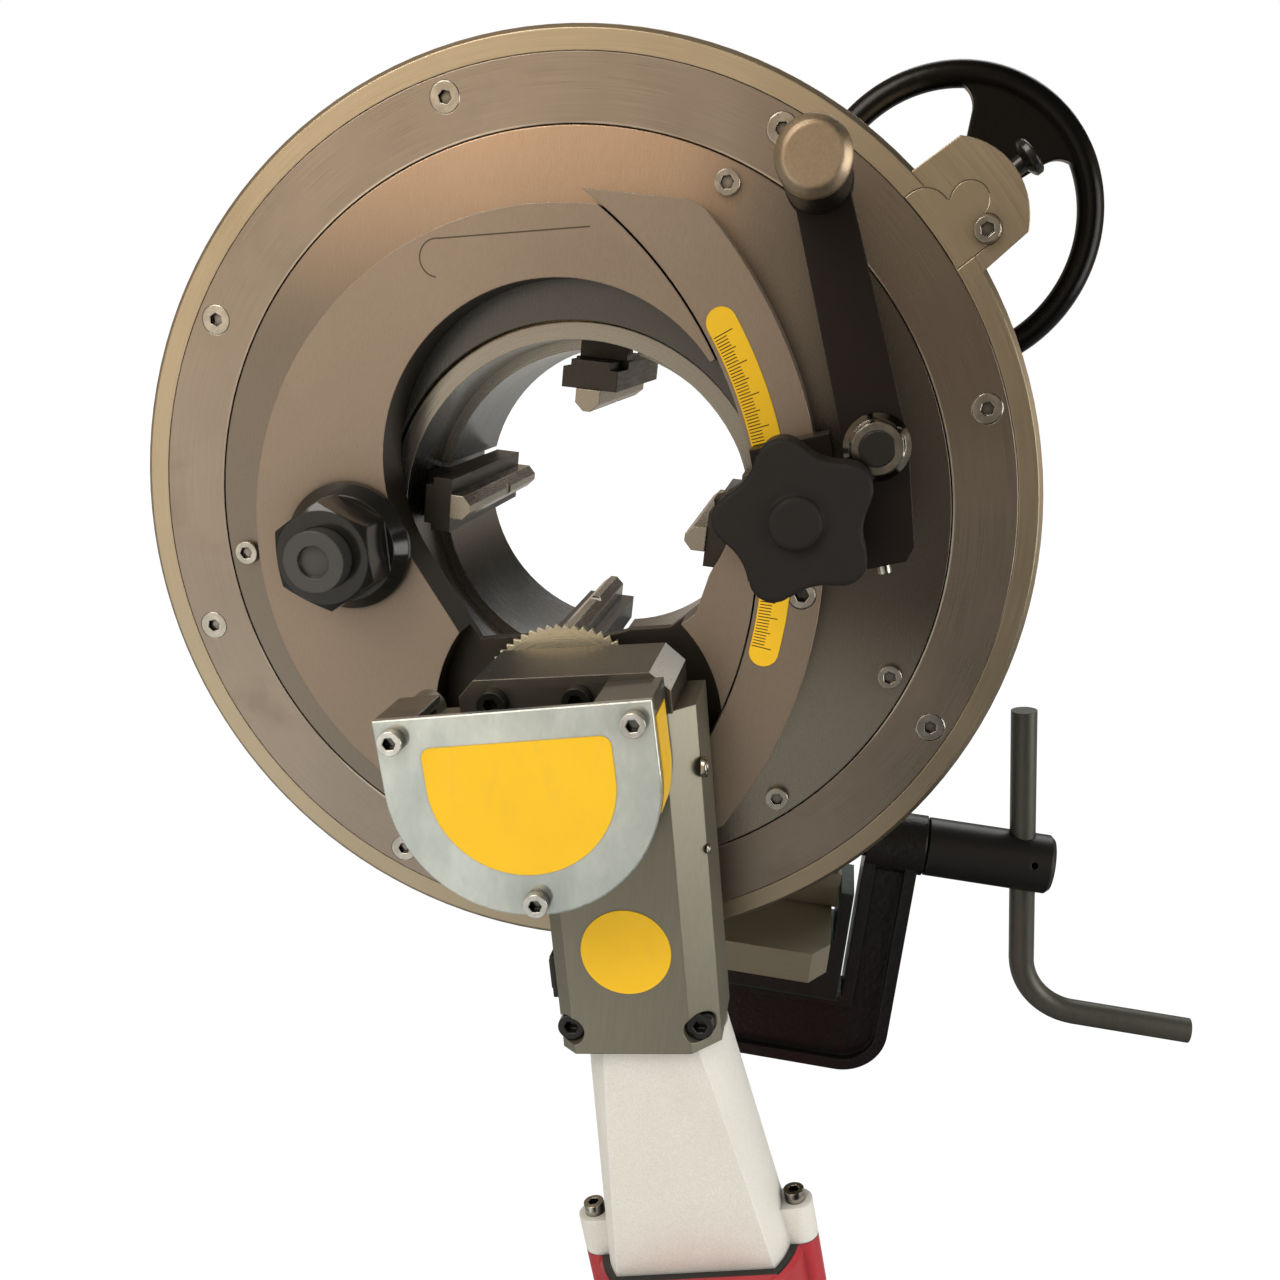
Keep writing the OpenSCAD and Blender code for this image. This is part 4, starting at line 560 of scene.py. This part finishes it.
# Turning lever: a flat black-coated bar on a stud, with a turned grip on its upper end.
# A bright flange nut holds it, and a small stop screw with a sunk face sits in its lower end.
# The grip's cap is bare bronze-coloured metal and the rest of it is black.
LEVER_BLACK, GRIP_BRONZE, NUT_CHROME = (0.009, 0.0045, 0.0025), (0.42, 0.33, 0.225), (0.30, 0.28, 0.245)
GRIP_BLACK, GRIP_TURNED = rgba(0.016, 0.015, 0.011), (1800, 120, 1800)
CAP_DEPTH, CAP_FADE = 0.0065, 0.003
blackened("lever_black", LEVER_BLACK, rough=0.34, wear=0.3, shine=0.3).on("lever_arm", "lock_block")
grip_metal = machined(
    "grip_metal", GRIP_BRONZE, metallic=0.88, rough=0.34, stretch=GRIP_TURNED, cloud=0.2, edge=0.0016, wear=0.5
)
cap_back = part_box("lever_grip")[0].y + CAP_DEPTH
below_cap = grip_metal.y.ramp(cap_back, cap_back + CAP_FADE)
grip_metal.feed(grip_metal.mix(below_cap, grip_metal.colour, GRIP_BLACK), grip_metal.rough)
grip_metal.on("lever_grip")
plated("nut_chrome", NUT_CHROME, rough=0.06).on("lever_nut")


def round_edges(piece, width, segments):
    bevel = piece.modifiers.new("round_edges", "BEVEL")
    bevel.width, bevel.segments = width, segments
    bpy.ops.object.modifier_apply(modifier=bevel.name)


STOP_R, STOP_LENGTH, STOP_OUT, STOP_ASIDE = 0.0021, 0.008, 0.0032, 0.0025
STOP_RIM, STOP_SUNK, STOP_EDGE, NEAR = 0.0009, 0.0012, 0.0003, 0.0002
STOP_STEEL = (0.66, 0.64, 0.58)
lever_foot = Vector((0.102, -0.0385, 0.008))
down_lever, across_lever = Vector((0.3347, 0, -0.9423)), Vector((-0.9423, 0, -0.3347))
stop_at = lever_foot + across_lever * STOP_ASIDE
bpy.ops.object.select_all(action="DESELECT")
bpy.ops.mesh.primitive_cylinder_add(
    vertices=24, radius=STOP_R, depth=STOP_LENGTH,
    location=stop_at + down_lever * (STOP_OUT - STOP_LENGTH / 2),
    rotation=down_lever.to_track_quat("Z", "Y").to_euler(),
)
stop_screw = named("lever_stop_screw")
bpy.ops.object.mode_set(mode="EDIT")
pick("FACE", lambda p: (p - stop_at).dot(down_lever) > STOP_OUT - NEAR)
bpy.ops.mesh.inset(thickness=STOP_RIM)
push_out(down_lever * -STOP_SUNK)
round_edges(stop_screw, STOP_EDGE, 2)
plated("stop_steel", STOP_STEEL, rough=0.12).on(stop_screw)
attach(stop_screw, "lever")


# Star knob: matt black moulded plastic with a fine spark-eroded grain. Its clamp screw runs
# through the lock block. The motor's switch is of the same plastic.
KNOB_BLACK = (0.0145, 0.0125, 0.0112)
moulded("knob_black", KNOB_BLACK, rough=0.44, grain=1500, depth=0.00005, shine=0.25, edge=0.0022).on(
    "star_knob", "motor_switch"
)


# Cutter head: a milled gear housing of dark grey steel under a brushed bridge, with a painted reflection that makes one
# facet bright. Both are screwed to the swing plate; long milling marks run down the housing, a black stop sits on its
# left side, two screws on its right and a bare yellow foil on its front.
CASE_GREY, MILLED_DOWN = (0.265, 0.250, 0.192), (2200, 2200, 50)
BRIDGE_GREY, BRUSHED_ACROSS, BRIDGE_METALLIC = (0.16, 0.145, 0.12), (60, 2200, 2200), 0.8
FACET_LOOKS, FACET_SPREAD, FACET_LOSS = (0.68, -0.15, 0.72), (0.86, 0.95), 0.5
FACET_REFLECTION = (0.9, rgba(0.80, 0.79, 0.74))
machined("gear_case", CASE_GREY, metallic=0.7, rough=0.38, stretch=MILLED_DOWN, cloud=0.08, wear=0.6).on("gear_housing")
bridge_steel = machined(
    "bridge_steel", BRIDGE_GREY, BRIDGE_METALLIC, rough=0.32, stretch=BRUSHED_ACROSS, cloud=0.08, wear=0.6
)
# Painted reflection: near-white on the facet that looks to the right.
reflecting_facet = bridge_steel.facing(FACET_LOOKS).ramp(*FACET_SPREAD)
bridge_base = bridge_steel.layer(bridge_steel.colour, reflecting_facet, *FACET_REFLECTION)
bridge_steel.feed(bridge_base, bridge_steel.rough, metallic=BRIDGE_METALLIC - reflecting_facet * FACET_LOSS)
bridge_steel.on("head_block")

BLADE_X, BLADE_Z = 0.0059, -0.0623


def leaning(degrees):
    """The place of a part of the head, which leans about the blade's axis."""
    return Matrix.Translation((BLADE_X, 0, BLADE_Z)) @ Matrix.Rotation(math.radians(-degrees), 4, "Y")


def settle(piece, place):
    """Moves a piece modelled upright into its leaning place, and keeps the object at the origin."""
    bpy.ops.object.select_all(action="DESELECT")
    piece.select_set(True)
    bpy.context.view_layer.objects.active = piece
    piece.matrix_world = place
    bpy.ops.object.transform_apply(location=True, rotation=True, scale=True)


gear_lean = leaning(11.0)
BLOCK_AT, BLOCK_SIZE, BLOCK_OUTER_X = (-0.0055, -0.0400, -0.0800), (0.0036, 0.0100, 0.0150), -0.0070
BLOCK_RIM, BLOCK_STEP, BLOCK_EDGE, BLOCK_BLACK = 0.0022, 0.0009, 0.0004, (0.012, 0.011, 0.010)
bpy.ops.object.select_all(action="DESELECT")
bpy.ops.mesh.primitive_cube_add(size=1, location=BLOCK_AT)
bpy.context.object.scale = BLOCK_SIZE
side_stop = named("housing_stop")
bpy.ops.object.mode_set(mode="EDIT")
pick("FACE", lambda p: p.x < BLOCK_OUTER_X)
bpy.ops.mesh.inset(thickness=BLOCK_RIM)
push_out((-BLOCK_STEP, 0, 0))
round_edges(side_stop, BLOCK_EDGE, 3)
settle(side_stop, gear_lean)
moulded("stop_black", BLOCK_BLACK, rough=0.3, grain=900, depth=0.00003).on(side_stop)
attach(side_stop, "swing")

HEAD_R, HEAD_HEIGHT, HEAD_RIM, HEAD_SUNK, HEAD_EDGE = 0.0033, 0.0022, 0.0015, 0.0013, 0.0006
OIL_SCREW_SCALE, SIDE_ZINC = 0.5, (0.64, 0.61, 0.54)
screw_foot, oil_screw_foot = Vector((0.0479, -0.0470, -0.0080)), Vector((0.0479, -0.0470, -0.0350))
head_top = screw_foot.x + HEAD_HEIGHT
bpy.ops.object.select_all(action="DESELECT")
bpy.ops.mesh.primitive_cylinder_add(
    vertices=32, radius=HEAD_R, depth=HEAD_HEIGHT,
    location=screw_foot + Vector((HEAD_HEIGHT / 2, 0, 0)), rotation=(0, QUARTER_TURN, 0),
)
side_screw = named("housing_side_screw")
bpy.ops.object.mode_set(mode="EDIT")
pick("FACE", lambda p: p.x > head_top - NEAR)
bpy.ops.mesh.inset(thickness=HEAD_RIM)
push_out((-HEAD_SUNK, 0, 0))
round_edges(side_screw, HEAD_EDGE, 3)
bpy.ops.object.duplicate()
oil_screw = bpy.context.object
oil_screw.name = oil_screw.data.name = "housing_oil_screw"
smaller = Matrix.Scale(OIL_SCREW_SCALE, 4) @ Matrix.Translation(-screw_foot)
oil_screw_place = gear_lean @ Matrix.Translation(oil_screw_foot) @ smaller
side_zinc = plated("side_screw_zinc", SIDE_ZINC, rough=0.12)
for screw, place in ((side_screw, gear_lean), (oil_screw, oil_screw_place)):
    settle(screw, place)
    side_zinc.on(screw)
    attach(screw, "swing")

ROUND_LABEL_R, ROUND_LABEL_AT, LABEL_STEPS = 0.0145, (0.0208, -0.0560, -0.0658), 96
bpy.ops.object.select_all(action="DESELECT")
bpy.ops.mesh.primitive_circle_add(
    vertices=LABEL_STEPS, radius=ROUND_LABEL_R, fill_type="NGON",
    location=ROUND_LABEL_AT, rotation=(QUARTER_TURN, 0, 0),
)
round_label = named("housing_label")
bpy.ops.object.mode_set(mode="EDIT")
thicken_foil()
settle(round_label, gear_lean)
label_foil = foil("label_yellow", LABEL_YELLOW)
label_foil.on(round_label)
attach(round_label, "swing")


# Blade guard: polished sheet steel, bent and welded, with faint buffing streaks; painted shade darkens what lies behind
# the front sheet, and its corners. Three screws hold it on the head. Two bare yellow foils are
# glued on it, one on the front and one round the right wall.
HAZE_DARK, HAZE_PALE, HAZE_TONES = rgba(0.56, 0.61, 0.57), rgba(0.76, 0.80, 0.73), (0.3, 0.7)
HAZE_SCALE, HAZE_DEPTH, BUFFED = 26, 0.0009, (60, 60, 900)
SMEAR_SCALE, SMEAR_STRETCH, SMEAR_PATCHES = 34, (1.6, 1, 0.5), (0.42, 0.70)
SMEAR, GUARD_EDGE = (0.55, rgba(0.88, 0.92, 0.86)), (0.5, rgba(0.90, 0.91, 0.88))
SHEET_BACK, SHADE_BEHIND_SHEET = (-0.0785, -0.0781), (0.85, rgba(0.15, 0.145, 0.125))
GUARD_EDGE_WIDTH, CORNER_SHADE_REACH, GUARD_CORNER_SHADE = 0.0008, 0.006, (0.6, rgba(0.08, 0.08, 0.07))
ROUGH_BUFFING, ROUGH_HAZE, ROUGH_LEAST = 0.06, 0.16, 0.06
guard_steel = Finish("guard_steel", {"Metallic": 0.80})
buffing = guard_steel.noise(1.0, BUFFED, 3)
haze = guard_steel.noise(HAZE_SCALE, detail=5)
smear = guard_steel.noise(SMEAR_SCALE, SMEAR_STRETCH, 4).ramp(*SMEAR_PATCHES)
guard_base = guard_steel.mix(haze.ramp(*HAZE_TONES), HAZE_DARK, HAZE_PALE)
guard_base = guard_steel.layer(guard_base, smear, *SMEAR)
guard_base = guard_steel.layer(guard_base, guard_steel.worn_edges(GUARD_EDGE_WIDTH), *GUARD_EDGE)
# Painted shade: darker behind the front sheet and deep in corners.
guard_base = guard_steel.layer(guard_base, guard_steel.y.ramp(*SHEET_BACK), *SHADE_BEHIND_SHEET)
guard_base = guard_steel.layer(guard_base, guard_steel.corners(CORNER_SHADE_REACH), *GUARD_CORNER_SHADE)
guard_rough = buffing * ROUGH_BUFFING + haze * ROUGH_HAZE + ROUGH_LEAST
guard_steel.feed(guard_base, guard_rough, guard_steel.relief(haze, HAZE_DEPTH, GUARD_EDGE_WIDTH))
guard_steel.on("blade_guard")

GUARD_FRONT, LABEL_R, LABEL_TOP, LABEL_CORNER = -0.0810, 0.0281, 0.0128, 0.0032
guard_lean = leaning(13.0)
bpy.ops.object.select_all(action="DESELECT")
bpy.ops.mesh.primitive_circle_add(
    vertices=LABEL_STEPS, radius=LABEL_R, fill_type="NGON",
    location=(0, GUARD_FRONT, 0), rotation=(QUARTER_TURN, 0, 0),
)
guard_label = named("guard_label")
bpy.ops.object.mode_set(mode="EDIT")
bpy.ops.mesh.select_all(action="SELECT")
bpy.ops.mesh.bisect(plane_co=(0, GUARD_FRONT, 0), plane_no=UP, clear_outer=True)
pick("EDGE", lambda p: abs(p.z) < TOUCH)
bpy.ops.mesh.extrude_region_move(TRANSFORM_OT_translate={"value": (0, 0, LABEL_TOP)})
bpy.ops.mesh.select_all(action="SELECT")
bpy.ops.mesh.dissolve_faces()
pick("VERT", lambda p: p.z > LABEL_TOP - NEAR)
bpy.ops.mesh.bevel(offset=LABEL_CORNER, segments=8, affect="VERTICES")
thicken_foil()
settle(guard_label, guard_lean)
label_foil.on(guard_label)
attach(guard_label, "swing")

GUARD_R, WALL_FRONT, WALL_BACK, WALL_TOP = 0.0410, -0.0775, -0.0605, 0.0165
WALL_TURN = math.radians(18)
bpy.ops.object.select_all(action="DESELECT")
bpy.ops.mesh.primitive_plane_add(
    size=1, location=(GUARD_R, (WALL_FRONT + WALL_BACK) / 2, WALL_TOP / 2), rotation=(0, QUARTER_TURN, 0)
)
bpy.context.object.scale = (WALL_TOP, WALL_BACK - WALL_FRONT, 1)
side_label = named("guard_side_label")
bpy.ops.object.mode_set(mode="EDIT")
pick("EDGE", lambda p: p.z < NEAR)
bpy.ops.mesh.spin(steps=12, angle=WALL_TURN, center=(0, 0, 0), axis=FRONT)
bpy.ops.mesh.select_all(action="SELECT")
bpy.ops.mesh.remove_doubles(threshold=TOUCH)
bpy.ops.mesh.normals_make_consistent(inside=False)
bpy.ops.object.mode_set(mode="OBJECT")
sheet = side_label.modifiers.new("foil", "SOLIDIFY")
sheet.thickness, sheet.offset = FOIL, 1.0
bpy.ops.object.modifier_apply(modifier=sheet.name)
settle(side_label, guard_lean)
label_foil.on(side_label)
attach(side_label, "swing")


# Saw blade: thin tool steel with a pale gold coat and ground teeth.
# It is clamped on its arbor inside the guard, and only its upper edge shows.
BLADE_GOLD = (0.82, 0.71, 0.50)
machined("blade_coat", BLADE_GOLD, metallic=0.7, rough=0.30, stretch=RINGS, about=(BLADE_X, BLADE_Z)).on("saw_blade")


# Motor: a sand-cast aluminium nose, bead-blasted, on a red moulded body.
# Fine ribs from the casting mould run down the edges of its flat front, drawn as a near-white painted highlight along
# the nose's edges, and painted shade darkens its corners. A black gasket lies between nose and body. Screws through the
# nose's ears hold the two together.
SAND_SCALE, SAND_TONES, SAND_DEPTH = 4600, (0.25, 0.8), 0.00022
SAND_DARK, SAND_PALE, SAND_ROUGH, CAST_ROUGH = rgba(0.72, 0.705, 0.635), rgba(0.97, 0.96, 0.90), 0.2, 0.36
STAIN_SCALE, STAIN_PATCHES, STAIN = 30, (0.5, 0.8), (0.3, rgba(0.66, 0.64, 0.57))
RIB_WIDTH, RIB_BEND, RIB_HIGHLIGHT = 0.0008, (0.004, 0.02), (0.9, rgba(1.0, 1.0, 0.98))
CAST_EDGE, CAST_CORNER_SHADE = 0.0012, (0.5, rgba(0.20, 0.19, 0.17))
cast_alu = Finish("cast_aluminium", {"Metallic": 0.12})
sand = cast_alu.noise(SAND_SCALE, detail=4)
stain = cast_alu.noise(STAIN_SCALE, detail=4).ramp(*STAIN_PATCHES)
# Painted highlight: near-white along the nose's edges, for the casting ribs.
rib_highlights = (1 - cast_alu.facing(cast_alu.rounded(RIB_WIDTH))).ramp(*RIB_BEND)
cast_base = cast_alu.mix(sand.ramp(*SAND_TONES), SAND_DARK, SAND_PALE)
cast_base = cast_alu.layer(cast_base, stain, *STAIN)
cast_base = cast_alu.layer(cast_base, rib_highlights, *RIB_HIGHLIGHT)
# Painted shade: darker deep in corners.
cast_base = cast_alu.layer(cast_base, cast_alu.corners(CORNER_SHADE_REACH), *CAST_CORNER_SHADE)
cast_alu.feed(cast_base, sand * SAND_ROUGH + CAST_ROUGH, cast_alu.relief(sand, SAND_DEPTH, CAST_EDGE))
cast_alu.on("motor_nose")

MOTOR_RED, GASKET_BLACK = (0.43, 0.026, 0.036), rgba(0.010, 0.009, 0.009)
NOSE_LENGTH, NOSE_HALF, GASKET, GASKET_SOFT = 0.088, 0.018, 0.0028, 0.0003
motor_top, motor_down = Vector((0.04941, -0.033, -0.15775)), Vector((0.28402, 0, -0.95882))
red_case = moulded("motor_red", MOTOR_RED, rough=0.26, grain=900, depth=0.00004, edge=0.0012)
down = (red_case.x - motor_top.x) * motor_down.x + (red_case.z - motor_top.z) * motor_down.z
on_top = 1 - down.ramp(NOSE_LENGTH + 0.0002, NOSE_LENGTH + 0.0004)
gasket_edge = NOSE_HALF + GASKET
near_nose = 1 - abs(red_case.y - motor_top.y).ramp(gasket_edge, gasket_edge + GASKET_SOFT)
red_case.feed(red_case.mix(on_top * near_nose, red_case.colour, GASKET_BLACK), red_case.rough)
red_case.on("motor_body")


# Clamp stand: milled foot plate and bracket, a saddle with green painted edges, a black
# painted cast C-frame and a drawn steel crank. The spindle presses the foot to the frame.
FOOT_STEEL, FOOT_MILLED = (0.30, 0.265, 0.195), (60, 2000, 2000)
SADDLE_BLACK, SADDLE_GREEN = (0.010, 0.0098, 0.009), rgba(0.008, 0.052, 0.030)
GREEN_EDGE, GREEN_FACE = 0.0016, (0.5, 0.7)
FRAME_BLACK = (0.0095, 0.009, 0.0085)
CRANK_STEEL, CRANK_DRAWN = (0.085, 0.085, 0.068), (900, 900, 60)
machined("foot_steel", FOOT_STEEL, metallic=0.75, rough=0.40, stretch=FOOT_MILLED, cloud=0.2, wear=0.7).on(
    "foot_plate", "foot_bracket"
)
saddle_paint = moulded("saddle_paint", SADDLE_BLACK, rough=0.30, grain=420, depth=0.00025, shine=0.35)
sides = abs(saddle_paint.facing(RIGHT)).ramp(*GREEN_FACE)
green = saddle_paint.facing(UP).ramp(*GREEN_FACE).math("MAXIMUM", sides)
green = saddle_paint.worn_edges(GREEN_EDGE).math("MAXIMUM", green)
saddle_paint.feed(saddle_paint.mix(green, saddle_paint.colour, SADDLE_GREEN), saddle_paint.rough)
saddle_paint.on("clamp_saddle")
moulded("frame_black", FRAME_BLACK, rough=0.22, grain=420, depth=0.00030, shine=0.35, edge=0.0015).on("clamp_frame")
machined("crank_steel", CRANK_STEEL, metallic=0.5, rough=0.42, stretch=CRANK_DRAWN, cloud=0.2).on("clamp_crank")


# Studio: a pale floor under the lowest point that turns white with distance, soft lamps, and
# a dim room that only shiny faces see: a window lights its front wall from the left, the
# right wall is pale, and the other walls are darker.
FLOOR_SIZE, FLOOR_GAP = 12, 0.002
bpy.ops.object.select_all(action="DESELECT")
bpy.ops.mesh.primitive_plane_add(size=FLOOR_SIZE, location=(0, 0, cad_box[0].z - FLOOR_GAP))
floor = bpy.context.object
floor.name = "floor"
floor.visible_glossy = False


def background(tree, shade, white):
    """Joins a lit shader and plain white: the camera, metal and glass see the white."""
    path = tree.nodes.new("ShaderNodeLightPath")
    seen = path.outputs["Is Camera Ray"]
    for ray in ("Is Glossy Ray", "Is Transmission Ray"):
        either = tree.nodes.new("ShaderNodeMath")
        either.operation = "MAXIMUM"
        tree.links.new(seen, either.inputs[0])
        tree.links.new(path.outputs[ray], either.inputs[1])
        seen = either.outputs[0]
    blend = tree.nodes.new("ShaderNodeMixShader")
    tree.links.new(seen, blend.inputs[0])
    tree.links.new(shade.outputs[0], blend.inputs[1])
    tree.links.new(white.outputs[0], blend.inputs[2])
    return blend


FLOOR_GREY, FLOOR_ROUGH, FLOOR_GLOW = rgba(0.90, 0.90, 0.90), 0.9, 1.08
GLOW_NEAR, GLOW_FAR, FAR_OFF = 0.85, 0.15, (0.5, 1.3)
floor_paint = Finish("floor_white", {"Base Color": FLOOR_GREY, "Roughness": FLOOR_ROUGH})
paint_tree, lit = floor_paint.tree, floor_paint.shader
away = (floor_paint.x * floor_paint.x + floor_paint.y * floor_paint.y).math("SQRT").ramp(*FAR_OFF)
glow = paint_tree.nodes.new("ShaderNodeEmission")
glow.inputs["Strength"].default_value = FLOOR_GLOW
soft = paint_tree.nodes.new("ShaderNodeMixShader")
paint_tree.links.new((away * GLOW_FAR + GLOW_NEAR).socket, soft.inputs[0])
paint_tree.links.new(lit.outputs[0], soft.inputs[1])
paint_tree.links.new(glow.outputs[0], soft.inputs[2])
paint_out = paint_tree.nodes["Material Output"]
paint_tree.links.new(background(paint_tree, lit, soft).outputs[0], paint_out.inputs["Surface"])
floor.data.materials.append(floor_paint.material)

AIR_COLOUR, AIR_STRENGTH, WHITE = rgba(1.0, 0.98, 0.95), 0.45, rgba(1, 1, 1)
world = bpy.data.worlds.new("studio")
bpy.context.scene.world = world
world.use_nodes = True
air = world.node_tree
dim = air.nodes["Background"]
plain = air.nodes.new("ShaderNodeBackground")
for light, colour, strength in ((dim, AIR_COLOUR, AIR_STRENGTH), (plain, WHITE, 1.0)):
    light.inputs["Color"].default_value = colour
    light.inputs["Strength"].default_value = strength
air.links.new(background(air, dim, plain).outputs[0], air.nodes["World Output"].inputs["Surface"])


def lamp(name, place, size, watts, colour, shine):
    """A square soft lamp turned to the object; shine is how strongly metal shows it."""
    data = bpy.data.lights.new(name, "AREA")
    data.shape, data.size, data.energy, data.color = "SQUARE", size, watts, colour
    data.specular_factor = shine
    light = bpy.data.objects.new(name, data)
    bpy.context.scene.collection.objects.link(light)
    light.location = place
    light.rotation_mode = "QUATERNION"
    light.rotation_quaternion = (light.location * -1).to_track_quat("-Z", "Y")


lamp("key_lamp", (-0.9, -1.2, 1.3), size=1.2, watts=24, colour=(1.0, 0.95, 0.88), shine=1.0)
lamp("fill_lamp", (1.5, -0.5, 0.2), size=1.0, watts=11, colour=(1.0, 0.97, 0.94), shine=0.1)
lamp("back_lamp", (0.3, 1.4, 1.2), size=1.2, watts=10, colour=(1.0, 1.0, 1.0), shine=0.3)

ROOM_MIDDLE, ROOM_SIZE, BLACK = (0, 0.65, -0.2), (6.4, 4.7, 4.8), rgba(0, 0, 0)
WINDOW_MIDDLE, WINDOW_FALL, WINDOW_RISE, WINDOW_LEAST = 0.46, 0.72, 0.06, 0.02
OFF_FRONT_WALL, OFF_FRONT_LOSS = (-1.69, -1.2), 0.72
ON_RIGHT_WALL, RIGHT_WALL = (2.9, 3.19), 0.30
ON_BACK_WALL, HIGH_UP, LOW_BACK_WALL = (2.6, 2.99), (-0.2, 0.5), 0.38
COOL_LIGHT, WARM_LIGHT, WARM_HEIGHT = rgba(1.0, 0.98, 0.93), rgba(1.0, 0.80, 0.60), (-1.0, 0.5)
bpy.ops.object.select_all(action="DESELECT")
bpy.ops.mesh.primitive_cube_add(size=1, location=ROOM_MIDDLE)
room = bpy.context.object
room.scale = ROOM_SIZE
room.name = "grey_room"
bpy.ops.object.transform_apply(location=True, rotation=True, scale=True)
room.visible_camera = room.visible_diffuse = room.visible_shadow = room.visible_transmission = False
room_paint = Finish("room_grey", {"Base Color": BLACK, "Roughness": 1.0, "Emission Strength": 1.0})
from_window = WINDOW_MIDDLE - room_paint.x * WINDOW_FALL + room_paint.z * WINDOW_RISE
from_window = from_window.math("MAXIMUM", WINDOW_LEAST).math("MINIMUM", 1.0)
front_wall = 1 - room_paint.y.ramp(*OFF_FRONT_WALL) * OFF_FRONT_LOSS
right_wall = room_paint.x.ramp(*ON_RIGHT_WALL) * RIGHT_WALL
low_back = room_paint.y.ramp(*ON_BACK_WALL) * (1 - room_paint.z.ramp(*HIGH_UP)) * LOW_BACK_WALL
warmth = room_paint.mix(room_paint.z.ramp(*WARM_HEIGHT), COOL_LIGHT, WARM_LIGHT)
room_paint.feed(glow=room_paint.mix(from_window * front_wall + (right_wall + low_back), BLACK, warmth))
room.data.materials.append(room_paint.material)


# Camera: where the photograph was taken from, with its lens and shift worked out for a square frame.
# Its lens, place and turn were fitted to the drum's rings and the scale's millimetres.
FRAME_PX, FOCAL_PX, OPTICAL_Y_PX = 1280, 1325.25, 715.96
SENSOR_MM, NEAREST = 36.0, 0.01
to_right = Vector((0.98339, 0.14930, 0.10320))
to_up = Vector((-0.14287, 0.28615, 0.94747))
to_back = Vector((0.11192, -0.94648, 0.30273))
eye = Vector((0.079454, -0.430022, 0.074937))
view = bpy.data.cameras.new("photo_camera")
view.sensor_width = SENSOR_MM
view.lens = FOCAL_PX / FRAME_PX * SENSOR_MM
view.shift_y = (OPTICAL_Y_PX - FRAME_PX / 2) / FRAME_PX
view.clip_start = NEAREST
camera = bpy.data.objects.new("photo_camera", view)
bpy.context.scene.collection.objects.link(camera)
camera.matrix_world = Matrix.Translation(eye) @ Matrix((to_right, to_up, to_back)).transposed().to_4x4()
bpy.context.scene.camera = camera
bpy.context.scene.view_settings.view_transform = "Standard"
